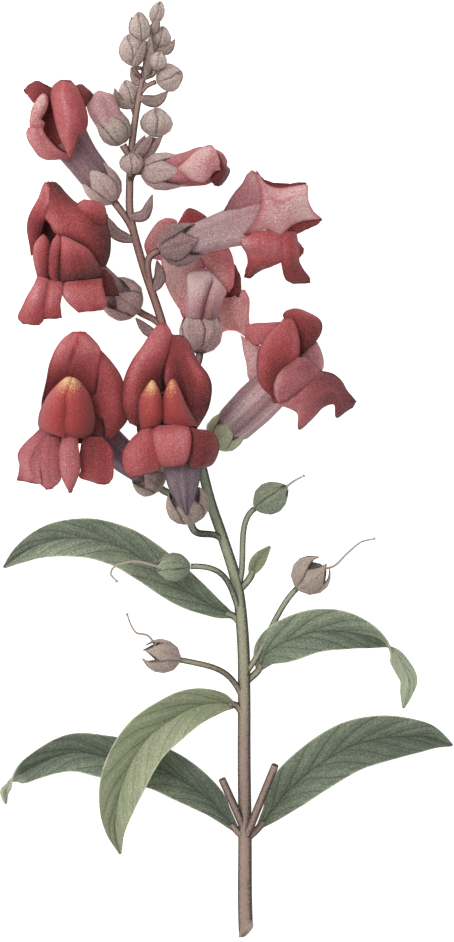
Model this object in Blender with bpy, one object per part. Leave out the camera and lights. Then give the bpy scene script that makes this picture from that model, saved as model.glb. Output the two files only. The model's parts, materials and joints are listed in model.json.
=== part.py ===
"""A cut snapdragon stem lying on a table, built in metres with +Z up.

The stem lies along +Y with its cut end at -Y. Places below are in millimetres from the middle of
the spray, as (across, along the stem, height above the table), and are made metres by MM.
"""

import math

import bmesh
import bpy
from mathutils import Matrix, Vector

MM = 0.001

# Driving dimensions, in millimetres
BLADE = 0.6
GAP = 0.3
STEM_CUT_RADIUS = 1.85
STEM_TIP_RADIUS = 0.55
PEDICEL_RADIUS = 0.8
STALK_RADIUS = 0.75
PETIOLE_RADIUS = 1.0
CALYX_RADIUS = 5.1
CALYX_LENGTH = 10.0
TUBE_FOOT_RADIUS = 2.1
TABLE = BLADE / 2
MIDDLE = Vector((-0.0895, 0.2165, 0.005))

# How many faces go round and along each kind of piece
STEM_SIDES = 10
STALK_SIDES = 6
CALYX_ROWS = 5
TUBE_ROWS = 4
LIP_ROWS = 5

# Colours, as linear red, green, blue
STEM_GREEN = (0.20, 0.22, 0.14)
LEAF_GREEN = (0.10, 0.15, 0.09)
LEAF_PALE = (0.24, 0.28, 0.15)
PETAL_RED = (0.42, 0.06, 0.07)
CALYX_MAUVE = (0.24, 0.15, 0.15)
CALYX_GREEN = (0.26, 0.28, 0.17)
BUD_GREY = (0.36, 0.31, 0.25)
HUSK_BROWN = (0.26, 0.20, 0.17)

# The main stem: place and radius at each point, from the cut end to the tip
STEM = [
    ((4.8, -117.0, 1.9), STEM_CUT_RADIUS),
    ((4.5, -107.0, 2.1), 1.8),
    ((4.5, -90.0, 3.8), 1.7),
    ((4.3, -73.0, 6.6), 1.65),
    ((4.3, -55.0, 9.4), 1.6),
    ((4.0, -42.0, 11.2), 1.55),
    ((2.6, -29.0, 13.0), 1.45),
    ((-0.6, -18.0, 14.4), 1.35),
    ((-4.3, -7.0, 15.8), 1.3),
    ((-7.5, 6.0, 17.0), 1.2),
    ((-12.0, 22.0, 18.2), 1.1),
    ((-16.5, 38.0, 19.0), 1.05),
    ((-21.0, 51.5, 19.4), 1.05),
    ((-24.0, 63.0, 19.6), 1.0),
    ((-24.3, 71.0, 19.6), 0.95),
    ((-23.8, 81.0, 19.4), 0.9),
    ((-22.0, 93.5, 19.0), 0.8),
    ((-20.0, 103.0, 18.6), 0.7),
    ((-18.6, 109.5, 18.2), STEM_TIP_RADIUS),
]


# The two cut side shoots: root along the stem and end
SIDE_SHOOTS = [(-90, (-1.2, -77.2, 10.5)), (-92.5, (12, -73.6, 16))]


# Curves and closed shapes


def spline(points, steps):
    """Points along a smooth curve through the given ones, with so many steps to a span."""
    points = [Vector(point) for point in points]
    ends = [points[0] * 2 - points[1], *points, points[-1] * 2 - points[-2]]
    found = []
    for a, b, c, d in zip(ends, ends[1:], ends[2:], ends[3:]):
        for i in range(steps):
            t = i / steps
            slope = (c - a) * t
            bend = (2 * a - 5 * b + 4 * c - d) * t**2
            twist = (3 * b - a - 3 * c + d) * t**3
            found.append((2 * b + slope + bend + twist) / 2)
    return [*found, points[-1]]


def bezier(start, start_pull, end_pull, end, steps):
    found = []
    for i in range(steps + 1):
        t = i / steps
        s = 1 - t
        found.append(
            start * s**3 + start_pull * 3 * s * s * t + end_pull * 3 * s * t * t + end * t**3
        )
    return found


def blend(pairs, x):
    """The value at x of a smooth-stepped line through (place, value) pairs."""
    for (x0, y0), (x1, y1) in zip(pairs, pairs[1:]):
        if x <= x1:
            t = max(0.0, (x - x0) / (x1 - x0))
            return y0 + (y1 - y0) * t * t * (3 - 2 * t)
    return pairs[-1][1]


def tangents(path):
    around = zip([path[0], *path[:-1]], [*path[1:], path[-1]])
    return [(after - before).normalized() for before, after in around]


def carried_sides(path, first_side):
    """A vector square to the path at each point, carried along it without twisting."""
    along = tangents(path)
    side = (first_side - along[0] * first_side.dot(along[0])).normalized()
    sides = [side]
    for before, after in zip(along, along[1:]):
        side = before.rotation_difference(after) @ side
        side = (side - after * side.dot(after)).normalized()
        sides.append(side)
    return sides


def any_side(direction):
    return direction.orthogonal().normalized()


def loft(rings):
    """A closed solid through rings of points. A ring of one point is a pole, others get a cap."""
    mesh = bmesh.new()
    made = [[mesh.verts.new(point) for point in ring] for ring in rings]
    for low, high in zip(made, made[1:]):
        count = max(len(low), len(high))
        for i in range(count):
            j = (i + 1) % count
            corners = [low[i % len(low)], low[j % len(low)], high[j % len(high)], high[i % len(high)]]
            mesh.faces.new(list(dict.fromkeys(corners)))
    if len(made[0]) > 1:
        mesh.faces.new(made[0][::-1])
    if len(made[-1]) > 1:
        mesh.faces.new(made[-1])
    bmesh.ops.triangulate(mesh, faces=mesh.faces)
    bmesh.ops.recalc_face_normals(mesh, faces=mesh.faces)
    return mesh


def ring(centre, side, direction, wide, high, count, start=0.0):
    """Points of an ellipse round a centre, square to a direction."""
    other = direction.cross(side)
    turns = [start + 2 * math.pi * i / count for i in range(count)]
    return [centre + side * (wide * math.cos(a)) + other * (high * math.sin(a)) for a in turns]


def rod(path, radii, sides=STALK_SIDES, side=None):
    """A closed round rod along a path."""
    along = tangents(path)
    square = carried_sides(path, side or any_side(along[0]))
    rows = zip(path, square, along, radii)
    return loft([ring(point, s, direction, r, r, sides) for point, s, direction, r in rows])


def taper(start, end, count):
    return [start + (end - start) * i / (count - 1) for i in range(count)]


def shell(rows, thickness, wrap=False):
    """A closed sheet round a grid of points. thickness is a number, or one for each row and column.

    The first row may be a single point, the pole of a cup. Both faces are split into the same
    triangles, so that the walls can't cross.
    """
    flat = [point for row in rows for point in row]
    starts = [sum(len(row) for row in rows[:i]) for i in range(len(rows))]
    columns = len(rows[-1])
    spans = columns if wrap else columns - 1
    triangles = []
    for i in range(len(rows) - 1):
        for j in range(spans):
            k = (j + 1) % columns
            c, d = starts[i + 1] + k, starts[i + 1] + j
            if len(rows[i]) == 1:
                triangles.append((starts[i], c, d))
                continue
            a, b = starts[i] + j, starts[i] + k
            triangles += [(a, b, c), (a, c, d)]
    normals = [Vector() for _ in flat]
    for a, b, c in triangles:
        normal = (flat[b] - flat[a]).cross(flat[c] - flat[a])
        for corner in (a, b, c):
            normals[corner] += normal
    if isinstance(thickness, (int, float)):
        halves = [thickness / 2] * len(flat)
    else:
        halves = [value / 2 for row in thickness for value in row]
    mesh = bmesh.new()
    rows_of = zip(flat, normals, halves)
    pairs = [(p + n.normalized() * h, p - n.normalized() * h) for p, n, h in rows_of]
    top = [mesh.verts.new(pair[0]) for pair in pairs]
    low = [mesh.verts.new(pair[1]) for pair in pairs]
    for a, b, c in triangles:
        mesh.faces.new((top[a], top[b], top[c]))
        mesh.faces.new((low[a], low[c], low[b]))
    edges = {}
    for a, b, c in triangles:
        for edge in ((a, b), (b, c), (c, a)):
            edges[edge] = True
    for a, b in edges:
        if (b, a) not in edges:
            mesh.faces.new((top[b], top[a], low[a]))
            mesh.faces.new((top[b], low[a], low[b]))
    bmesh.ops.recalc_face_normals(mesh, faces=mesh.faces)
    return mesh


# Objects


def clear_scene():
    for old in list(bpy.data.objects):
        bpy.data.objects.remove(old)


def finish(name, colour, roughness=0.6):
    material = bpy.data.materials.get(name)
    if material is None:
        material = bpy.data.materials.new(name)
        material.use_nodes = True
        shader = material.node_tree.nodes["Principled BSDF"]
        shader.inputs["Base Color"].default_value = (*colour, 1.0)
        shader.inputs["Roughness"].default_value = roughness
    return material


def object_of(name, mesh, collection=None):
    data = bpy.data.meshes.new(name)
    bmesh.ops.translate(mesh, vec=-MIDDLE, verts=mesh.verts)
    bmesh.ops.scale(mesh, vec=(MM, MM, MM), verts=mesh.verts)
    mesh.to_mesh(data)
    mesh.free()
    made = bpy.data.objects.new(name, data)
    (collection or bpy.context.scene.collection).objects.link(made)
    return made


def node(name, meshes, material):
    """One object of the closed meshes, joined by one union where there are several."""
    made = object_of(name, meshes[0])
    if len(meshes) > 1:
        helpers = bpy.data.collections.new(name + "_pieces")
        bpy.context.scene.collection.children.link(helpers)
        pieces = [object_of(f"{name}_{i}", mesh, helpers) for i, mesh in enumerate(meshes[1:])]
        union = made.modifiers.new("union", "BOOLEAN")
        union.operation = "UNION"
        union.operand_type = "COLLECTION"
        union.collection = helpers
        union.solver = "MANIFOLD"
        graph = bpy.context.evaluated_depsgraph_get()
        joined = bpy.data.meshes.new_from_object(made.evaluated_get(graph))
        made.modifiers.clear()
        made.data = joined
        for piece in pieces:
            bpy.data.objects.remove(piece)
        bpy.data.collections.remove(helpers)
    made.data.materials.clear()
    made.data.materials.append(material)
    made.data.shade_smooth()
    made.data.set_sharp_from_angle(angle=math.radians(50))
    return made


# The stem, its stalks and bracts


def stem_points():
    return spline([place for place, _ in STEM], 2)


def stem_radii():
    radii = [radius for _, radius in STEM]
    halfway = [(a + b) / 2 for a, b in zip(radii, radii[1:])]
    return [r for pair in zip(radii, [*halfway, 0]) for r in pair][:-1]


def nearest_on_stem(along):
    """The point of the stem's axis this far along the table, and the stem's direction there."""
    path = stem_points()
    for low, high in zip(path, path[1:]):
        if low.y <= along <= high.y:
            t = (along - low.y) / (high.y - low.y)
            return low.lerp(high, t), (high - low).normalized()
    return path[-1], (path[-1] - path[-2]).normalized()


def stalk_path(root_along, end, end_direction, steps=5, reach=0.45):
    """From the stem's axis out to an end, arriving in the given direction."""
    root, up_stem = nearest_on_stem(root_along)
    span = (end - root).length
    out = (end - root).normalized()
    leave = (up_stem * 0.8 + out * 0.5).normalized()
    return bezier(root, root + leave * span * reach, end - end_direction * span * reach, end, steps)


def bract(root_along, tip, width, face):
    """A small boat-shaped leaf under a stalk, rooted in the stem."""
    root, up_stem = nearest_on_stem(root_along)
    tip, face = Vector(tip), Vector(face).normalized()
    span = (tip - root).length
    out = (tip - root).normalized()
    sag = root + (out - face * 0.35) * span * 0.5
    path = bezier(root, (root + sag) / 2, sag, tip, 4)
    along = tangents(path)
    rows = []
    for i, (point, direction) in enumerate(zip(path, along)):
        side = direction.cross(face).normalized()
        half = width / 2 * (0.42, 0.85, 1.0, 0.7, 0.16)[i]
        lift = face * half * 0.55
        rows.append([point - side * half + lift, point, point + side * half + lift])
    return shell(rows, BLADE)


# Flowers

# Where the 24 columns of a corolla stand round its tube, in degrees from its top. The upper lip is
# within 118 degrees of the top, the lower lip is the rest, and its middle lobe is at 180.
COLUMNS = [0, 12, 30, 50, 75, 100, 118, 128, 140, 149, 158, 167, 180]
COLUMNS += [-angle for angle in COLUMNS[-2:0:-1]]

# Each flower: where its calyx starts and its pedicel leaves the stem, the middle of its mouth, the
# ways that its mouth and its top face, the radii of its tube, the edge of its petals at each of the
# columns, from the middle of the mouth, and the two swellings of its palate, each as its top, its
# foot, half its width and half its depth.
FLOWERS = {
    1: dict(
        base=(-28, 67, 20), root=58, mouth=(-38.8, 80.2, 22), face=(-0.4, 0.92, 0),
        up=(0.92, 0.4, 0), tube=(3.7, 4.1, 4.4), flare=1.4,
        rim=[
            (4, 6.5, 1), (3.2, 10.5, 3), (1.5, 14.2, 5), (-1.5, 17, 6.5), (-4.5, 15.8, 7),
            (-5.2, 11.2, 7), (-3.5, 5, 6.5), (-1.8, 0, 4.5), (-6.2, 3, 6.5), (-7.2, 7, 7),
            (-6.8, 13, 7), (-10, 8, 6), (-11, 2.4, 3), (-10.8, 5, -1), (-11.5, 14.5, -3),
            (-9, 16.8, -5), (-6, 15, -6), (-5, 12.5, -6), (-3, 15, -7), (-0.5, 15.5, -7),
            (1.8, 16, -7), (3.8, 15, -6), (4.8, 13.2, -4), (4, 10.5, -2),
        ],
    ),
    2: dict(
        base=(-22.5, 40.2, 18), root=35, mouth=(-40.2, 53.2, 31), face=(-0.35, 0.05, 0.93),
        up=(0, 1, 0), tube=(3.6, 4.3, 5),
        rim=[
            (1, 14.5, 4), (2.8, 12.8, 3.5), (5.5, 14, 1), (9.8, 12.5, -1), (10.2, 8, -2),
            (11.2, 3.5, -3), (10.2, -2.5, -3), (9.2, -4.5, -1), (13, -9.5, -3), (10.2, -11.5, 1),
            (8, -13.5, 2), (3.2, -14, 4), (-0.8, -9.8, 4.5), (-1, -15.2, 4), (-5.2, -15.8, 4),
            (-7.5, -17, 3), (-11.5, -15.8, 1), (-9.8, -10, 0), (-7.2, -5.2, 0), (-8.8, 0.8, 0),
            (-9.5, 6.2, 0), (-8.5, 11.5, 1), (-5.2, 18, 2), (-1.5, 18, 3.5),
        ],
        palate=[((-5.2, 5.8, 5), (-6.3, -5.8, 3.6), 2.7, 3.2), ((-1.8, 5.2, 6), (4.2, -6, 4), 5.8, 4.4)],
    ),
    3: dict(
        base=(-16.8, -4.2, 15), root=-8.5, mouth=(-38.8, 14.8, 30), face=(-0.3, 0.1, 0.94),
        up=(0, 1, 0), tube=(3.6, 4.3, 5),
        rim=[
            (0.8, 18.5, 5), (3.5, 20.2, 4), (7.2, 15.5, 3), (11, 11.5, 1), (13.2, 5, -1),
            (13.8, -1.5, -2), (10, -6.2, -1), (6, -5.5, 0), (10.2, -9.5, 3), (10.5, -14.5, 3),
            (7.8, -18.5, 3), (2.8, -16.2, 3), (-0.2, -20, 4), (-2.8, -16.2, 3), (-6.5, -19.2, 3),
            (-13.8, -16.8, 2), (-13, -10.8, 2), (-7.5, -5, 0), (-7.8, -3.8, 1), (-7.8, 1.8, 0),
            (-7.5, 6, 0), (-6, 12.5, 1), (-4, 16.8, 3), (-1, 19.2, 4),
        ],
        palate=[((-1, 8.8, 5.5), (-5.2, -6.5, 4), 3.5, 3.6), ((0.5, 8.5, 5.5), (2.4, -7, 4.5), 4.3, 4)],
    ),
    4: dict(
        base=(-9, -13, 22), root=-18, mouth=(-14.8, 14.8, 35), face=(0, 0.15, 0.98),
        up=(0, 1, 0), tube=(3.7, 4.3, 5),
        rim=[
            (0.8, 16.8, 5), (1.5, 19, 3), (5, 18.2, 2), (8.8, 12.5, 1), (11, 8.5, -1),
            (10.5, 3.5, -2), (8.8, -3, -2), (7.5, -4.5, -1), (11.2, -6, -1), (12.5, -10, -1),
            (9.5, -14, 1), (5.5, -13.5, 3), (0.5, -14, 5), (-3.2, -15, 5), (-7, -15.8, 4),
            (-10, -16.2, 3), (-11.5, -11, 2), (-7.8, -4.8, 0), (-7.2, -4.2, -1), (-10.5, 0, -1),
            (-11.2, 4.8, -1), (-10.2, 10.5, 0), (-7.8, 17.5, 2), (-2.8, 22, 4),
        ],
        palate=[((-3.8, 7.8, 5.5), (-4.4, -4.6, 5), 3.4, 3.6), ((1.2, 8, 5.5), (4.6, -4.6, 4.6), 4.3, 4)],
    ),
    5: dict(
        base=(-17.2, 56.6, 22), root=45, mouth=(5.8, 60.5, 24), face=(0.98, 0.05, 0.1),
        up=(0, 1, 0), tube=(3.9, 4.9, 5.6),
        rim=[
            (-2, 13.2, 0), (-4.8, 8.5, -3), (-5.5, 4.5, -4.5), (5, 12.2, -6), (14, 10.5, -8),
            (17, 2.8, -8), (12.5, -0.2, -8), (9, -2.2, -7), (11.5, -3.5, -8), (10.5, -6.2, -8),
            (12.5, -10.2, -6), (6.2, -9.8, -4), (-1.2, -12.8, 0), (7.8, -8, 4), (10.5, -13.5, 5),
            (15, -13.5, 6), (11.5, -7, 8), (13.2, -5.2, 9), (9, -2.2, 7), (18, 3, 8),
            (14, 8.2, 9), (14, 10.5, 7), (8.8, 10.2, 5), (2, 14.2, 3),
        ],
    ),
    6: dict(
        base=(-6.8, 29.5, 15), root=18, bend=0.1, mouth=(-5.8, 47.2, 9.5), face=(0.05, 0.6, -0.8),
        up=(0, 0.8, 0.6), tube=(3.7, 4.1, 4.8),
        rim=[
            (-2.2, 15, -6.5), (-4, 18.2, -7.5), (-6.5, 15, -7.5), (-11, 15.8, -7.5), (-14.5, 9.2, -9.2),
            (-13, 6, -9), (-10.2, 3, -7.5), (-9.8, 1.2, -8), (-9, -2, -9.2), (-6.5, -4.2, -9.2),
            (-5, -8.5, -9.1), (-2.2, -4.5, -9.2), (-0.2, -6, -9.2), (1.8, -6, -9.2), (3.5, -13, -9.1),
            (7.2, -11.8, -9.2), (11.2, -12.8, -9.2), (11, -3.2, -8.5), (9, -2, -7.5), (9, 1.8, -6.5),
            (7.2, 6, -6.5), (8, 10.5, -7), (4.8, 14, -7.5), (1.8, 15.8, -7.5),
        ],
    ),
    7: dict(
        base=(-0.5, 9, 14), root=2, mouth=(10.8, 20.8, 18), face=(0.65, 0.75, 0.1),
        up=(-0.6, 0.55, -0.55), tube=(3.5, 4.8, 4.9), green=True, sepals=7.5,
        rim=[
            (13, 15.8, -3), (8, 4.5, -5), (3.2, 16, -7), (-4.8, 15.8, -8), (-6.8, 12.5, -9),
            (-5.5, 2.5, -9), (-2, 1.5, -7), (5, -5, -4), (7.2, -10.5, -4), (12, -5, -3),
            (17, -4.5, -2), (21.2, -3.5, -1), (18.2, 0.8, 1), (13.2, 5.5, 2), (11.8, 11.2, 3),
            (7.5, 8.5, 6), (1.8, 3.5, 6), (1, -2, 5), (-2, 0, 7), (-3.2, 5.5, 7),
            (-2, 12, 6), (3.2, 17, 5), (5.2, 19.8, 3), (9, 19.2, 0),
        ],
    ),
}

# The two large buds: where the calyx starts, its size, and the corolla's places and radii
LARGE_BUDS = {
    8: dict(
        base=(-21.6, 74.8, 22.4), root=72, size=0.98, sepals=9.5,
        corolla=[((-17.8, 75, 22.8), 3.4), ((-14.2, 75.1, 23.4), 3.8), ((-9.5, 75.6, 24), 4.3),
                 ((-6, 76.2, 24.2), 5), ((-2.6, 76.4, 24), 4.4), ((0, 75.8, 23.6), 2)],
        tip=(1, 75.2, 23.2),
    ),
    9: dict(
        base=(-26, 81.4, 20.4), root=77, size=0.76, sepals=8,
        corolla=[((-27.6, 85.2, 20.4), 2.6), ((-29.2, 88.4, 20.8), 3.2), ((-30.6, 91.2, 21), 3.6),
                 ((-31.6, 93.6, 21), 2.8)],
        tip=(-32.6, 96, 21),
    ),
}

# The small buds: root along the stem, foot, tip and radius
SMALL_BUDS = {
    "bud_1": (107, (-18, 111.4, 18.2), (-16.8, 117.5, 18), 1.6),
    "bud_2": (103, (-20.8, 107.2, 20), (-22.5, 114.8, 20.4), 2.2),
    "bud_3": (102, (-17.4, 105.8, 15.4), (-15.4, 111, 15), 2.4),
    "bud_4": (97, (-23.2, 101, 20.6), (-24.8, 109, 21.4), 2.8),
    "bud_5": (97, (-18, 100.4, 22), (-16.5, 105, 23), 2),
    "bud_6": (93, (-17.6, 97, 19), (-11, 99.2, 19.4), 3.2),
    "bud_7": (87, (-24.2, 91, 16.6), (-26, 97.8, 16), 2.4),
    "bud_8": (77, (-18.8, 83.4, 20), (-17.2, 91.2, 20), 3.7),
    "bud_9": (72, (-24.4, 74.3, 23.6), (-24.2, 78.8, 27), 2.6),
}

# Bracts: root along the stem, tip and width
BRACTS = [
    (64, (-19, 69, 21), 3),
    (58, (-30, 63.2, 19), 4),
    (45, (-16.6, 53.6, 17.5), 3),
    (93.5, (-15, 95, 16), 3),
    (95.8, (-24.4, 100.6, 18), 3),
    (101.5, (-12.8, 106, 13), 3.2),
    (79.5, (-15.6, 85, 17), 3.6),
]


def bloom_axes(bloom):
    face = Vector(bloom["face"]).normalized()
    up = Vector(bloom["up"])
    up = (up - face * up.dot(face)).normalized()
    return face, up, up.cross(face)


def calyx_axis(bloom):
    goal = bloom["mouth"] if "mouth" in bloom else bloom["corolla"][0][0]
    return (Vector(goal) - Vector(bloom["base"])).normalized()


def corolla_rows(bloom):
    """Rings of points from the foot of the tube to the edges of the lips."""
    face, up, right = bloom_axes(bloom)
    axis = calyx_axis(bloom)
    mouth = Vector(bloom["mouth"])
    foot = Vector(bloom["base"]) + axis * 2.3
    span = (mouth - foot).length
    pull = mouth - face * span * bloom.get("bend", 0.28)
    path = bezier(foot, foot + axis * span * 0.4, pull, mouth, TUBE_ROWS)
    along = tangents(path)
    along[-1] = face
    ups = carried_sides(path[::-1], up)[::-1]
    widen = list(zip((0, 0.25, 0.6, 1), (TUBE_FOOT_RADIUS, *bloom["tube"])))
    turns = [math.radians(angle) for angle in COLUMNS]
    rows = [[foot]]
    for i, (centre, high, direction) in enumerate(zip(path, ups, along)):
        radius = blend(widen, i / TUBE_ROWS)
        across = high.cross(direction)
        start = centre + direction * (0.7 if i == 0 else 0)
        rows.append([start + (high * math.cos(a) + across * math.sin(a)) * radius for a in turns])
    lips = []
    for start, a, edge in zip(rows[-1], turns, bloom["rim"]):
        out = up * math.cos(a) + right * math.sin(a)
        end = mouth + Vector(edge)
        reach = (end - start).length
        arrive = ((end - start).normalized() + out * 0.5 - face * 0.3).normalized()
        leave = (face + out * (bloom.get("flare", 0.25) if abs(a) > 2.3 else 0.25)).normalized()
        pulls = (start + leave * reach * 0.42, end - arrive * reach * 0.38)
        lips.append(bezier(start, *pulls, end, LIP_ROWS)[1:])
    return rows + [list(row) for row in zip(*lips)]


def palate(bloom, top, foot, wide, deep):
    """One of the swellings that close the mouth, as an upright egg with a narrow top."""
    mouth = Vector(bloom["mouth"])
    top, foot = mouth + Vector(top), mouth + Vector(foot)
    along = (top - foot).normalized()
    side = along.cross(bloom_axes(bloom)[0]).normalized()
    rings = [[foot]]
    for share, girth in ((0.1, 0.62), (0.28, 0.94), (0.5, 1), (0.72, 0.78), (0.9, 0.38)):
        rings.append(ring(foot.lerp(top, share), side, along, wide * girth, deep * girth, 8))
    return loft([*rings, [top]])


def on_table(rows):
    """Petals and leaves that would pass through the table spread out on it."""
    for row in rows:
        for point in row:
            point.z = max(point.z, TABLE)
    return rows


def corolla(number, bloom):
    meshes = [shell(on_table(corolla_rows(bloom)), BLADE, wrap=True)]
    meshes += [palate(bloom, *swelling) for swelling in bloom.get("palate", [])]
    node(f"corolla_{number}", meshes, finish("petal_red", PETAL_RED))


def calyx(number, bloom):
    """Five sepals round the foot of the tube."""
    axis = calyx_axis(bloom)
    side = any_side(axis)
    base = Vector(bloom["base"]) + axis * (BLADE / 2 + GAP)
    swell = [(0, 0.4), (0.3, 0.88), (0.6, 1), (1, 1.08)]
    size, tall = bloom.get("size", 1), bloom.get("sepals", CALYX_LENGTH)
    rows = [[base]]
    for i in range(1, CALYX_ROWS + 1):
        made = []
        for j in range(10):
            a = math.pi * j / 5
            out = side * math.cos(a) + axis.cross(side) * math.sin(a)
            share = i / CALYX_ROWS * (1 if j % 2 == 0 else 0.6)
            made.append(base + axis * tall * share + out * CALYX_RADIUS * size * blend(swell, share))
        rows.append(made)
    green = bloom.get("green")
    material = finish(*(("calyx_green", CALYX_GREEN) if green else ("calyx_mauve", CALYX_MAUVE)))
    node(f"calyx_{number}", [shell(rows, BLADE, wrap=True)], material)


def large_bud(number, bud):
    axis = calyx_axis(bud)
    foot = Vector(bud["base"]) + axis * 2.3
    places = [Vector(place) for place, _ in bud["corolla"]]
    path = [foot + axis * 0.7, *places]
    radii = [TUBE_FOOT_RADIUS * bud["size"], *[radius for _, radius in bud["corolla"]]]
    along = tangents(path)
    sides = carried_sides(path, any_side(axis))
    rings = [ring(p, s, d, r, r, 10) for p, s, d, r in zip(path, sides, along, radii)]
    mesh = loft([[foot], *rings, [Vector(bud["tip"])]])
    node(f"corolla_{number}", [mesh], finish("petal_red", PETAL_RED))


def egg(foot, tip, radius, sides=8):
    """A pointed egg with a narrow foot."""
    along = (tip - foot).normalized()
    side = any_side(along)
    rings = [[foot]]
    for share, girth in ((0.08, 0.5), (0.25, 0.88), (0.48, 1), (0.7, 0.82), (0.88, 0.42)):
        rings.append(ring(foot.lerp(tip, share), side, along, radius * girth, radius * girth, sides))
    return loft([*rings, [tip]])


def small_bud(name, foot, tip, radius):
    foot, tip = Vector(foot), Vector(tip)
    foot += (tip - foot).normalized() * GAP
    node(name, [egg(foot, tip, radius)], finish("bud_grey", BUD_GREY))


# Seed capsules

# Each capsule: root of its stalk along the stem, foot, tip, radius and the places of its style
CAPSULES = {
    "capsule_1": dict(root=-29, foot=(7.4, -10, 17), tip=(14.8, -4, 18), radius=3.9,
                      style=[(16.6, -2.6, 18), (18.8, -1.4, 18)]),
    "capsule_2": dict(root=-37, foot=(-9, -23.8, 22), tip=(-18, -24.2, 22.4), radius=3.3,
                      style=[(-22.6, -22.6, 22.6), (-27.6, -23.6, 22.6), (-29, -25.6, 22.4),
                             (-27.8, -27.2, 22.2)]),
    "capsule_3": dict(root=-51, foot=(17.4, -29.4, 17), tip=(23.8, -23.2, 18), radius=3.3, open=True,
                      style=[(26.6, -23.8, 18.4), (30, -20.6, 18.6), (33.4, -17.8, 18.4),
                             (36.4, -17, 18)]),
    "capsule_4": dict(root=-58, foot=(-11.6, -47.2, 18), tip=(-17.6, -46, 19), radius=3,
                      open=True, style=[(-19.4, -41.4, 19.4), (-22.6, -40.4, 19.6),
                                        (-24, -38.4, 19.4), (-24.8, -36.2, 19)]),
}


def capsule(name, shape):
    foot, tip = Vector(shape["foot"]), Vector(shape["tip"])
    axis = (tip - foot).normalized()
    foot += axis * GAP
    radius = shape["radius"]
    path = spline([foot.lerp(tip, 0.8), *shape["style"]], 2)
    meshes = [egg(foot, tip, radius, 10), rod(path, taper(0.5, 0.3, len(path)), 5)]
    if shape.get("open"):
        side = any_side(axis)
        base = foot + axis * (BLADE / 2)
        rows = [[base]]
        for i in range(1, 5):
            made = []
            for j in range(10):
                a = math.pi * j / 5
                out = side * math.cos(a) + axis.cross(side) * math.sin(a)
                share = i / 4 * (1 if j % 2 == 0 else 0.35)
                girth = blend([(0, 0.3), (0.3, 1.15), (0.65, 1.38), (1, 0.95)], share)
                made.append(base + axis * (share * 8.4) + out * radius * girth)
            rows.append(made)
        meshes.append(shell(rows, BLADE, wrap=True))
        node(name, meshes, finish("husk_brown", HUSK_BROWN))
    else:
        node(name, meshes, finish("stem_green", STEM_GREEN))


# Leaves

# Each leaf: along its midrib, a place, the half-width to the left and to the right of the way that
# it grows, and how far it has rolled over, in degrees
LEAVES = {
    "leaf_upper_left": [
        (0.8, -36, 12.2, 1, 1, 0), (-3.2, -34.2, 13.8, 2.6, 2.6, 0), (-10.8, -29.5, 15.2, 4.8, 4.8, 0),
        (-20, -22.8, 15.2, 5.5, 5.6, 0), (-26.2, -19.2, 13.8, 5.5, 5.7, 0),
        (-33.8, -17, 11.2, 5.3, 5.5, 0), (-41.5, -17, 7.6, 4.7, 4.8, 0), (-47.2, -18.5, 4.4, 3.6, 3.7, 0),
        (-52.2, -21.2, 1.8, 2.2, 2.2, 0), (-56, -24.2, 0.3, 0.35, 0.35, 0),
    ],
    "leaf_upper_right": [
        (8, -49.4, 9.6, 1, 1, 0), (10.4, -45.2, 11.8, 4.2, 3.8, 0), (15.2, -42.5, 14.2, 6, 5.6, 0),
        (22.2, -40.2, 15.2, 6.2, 5.6, 0), (29, -40.2, 14.8, 5.6, 4.8, 0), (34.8, -41.2, 13.2, 4, 3.2, 15),
        (38.8, -42.5, 11.6, 2.6, 2.2, 50), (41.5, -44.5, 10, 2.2, 2, 105), (43.4, -47.5, 7.8, 2.5, 2.3, 155),
        (45.5, -52.2, 4.2, 2.5, 2.4, 180), (45, -56, 1.9, 1.8, 1.7, 180), (44.2, -59.5, 0.3, 0.35, 0.35, 180),
    ],
    "leaf_pale": [
        (1.4, -58.6, 10.4, 1, 1, 0), (-2.5, -58, 13, 3, 3.2, 0), (-8.8, -59.2, 16, 5, 5.2, 0),
        (-15, -62.8, 17.6, 6.2, 6.2, 0), (-20, -66.9, 17.2, 6.6, 6.6, 0), (-23.2, -71.5, 15.8, 6.6, 6.6, 0),
        (-25.8, -77.2, 13.2, 6.2, 6.2, 0), (-27.5, -83.5, 9.6, 4.8, 4.8, 0), (-28, -89.8, 5, 2.7, 2.7, 0),
        (-26.8, -96, 0.9, 0.35, 0.35, 0),
    ],
    "leaf_low_left": [
        (2, -89.6, 4.4, 1, 1, 0), (-1.2, -85.8, 5.4, 2.6, 2.6, 0), (-4.5, -82.2, 6.4, 4.2, 4.2, 0),
        (-10.8, -77.8, 7.4, 5.6, 5.6, 0), (-17, -74.5, 7.4, 6, 6, 0), (-24.2, -72.8, 6.8, 6, 6, 0),
        (-30.8, -71.5, 6, 5.8, 5.8, 0), (-38, -70.5, 4.6, 5.2, 5.2, 0), (-44.2, -72.2, 3, 4.2, 4.2, 0),
        (-50.5, -75.2, 1.6, 3, 3, -15), (-54.2, -77.2, 1.1, 2.1, 2.1, -80), (-56, -80.2, 1, 1.5, 1.5, -150),
        (-55.5, -83.5, 0.4, 0.35, 0.35, -180),
    ],
    "leaf_low_right": [
        (8.4, -88.8, 4, 1, 1, 0), (11, -85.4, 5.6, 2.4, 3, 0), (15.5, -79.8, 8.4, 5.6, 5.6, 0),
        (22.5, -74, 10.2, 6.7, 6.7, 0), (30.8, -69, 10.4, 6.9, 6.9, 0), (39.2, -66.9, 8.4, 6.2, 6.2, 0),
        (47.5, -66.5, 4.8, 4.4, 4.4, 0), (51.8, -67, 2.4, 2.8, 2.8, 0), (56.5, -68.8, 0.3, 0.35, 0.35, 0),
    ],
    "leaf_small": [
        (6, -26, 13.2, 0.7, 0.7, 0), (7, -23.8, 14, 1.8, 1.8, 0), (8.4, -21.6, 14.8, 1.9, 1.9, 0),
        (10.8, -18.8, 15, 0.35, 0.35, 0),
    ],
}
FOLD = 24


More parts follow.
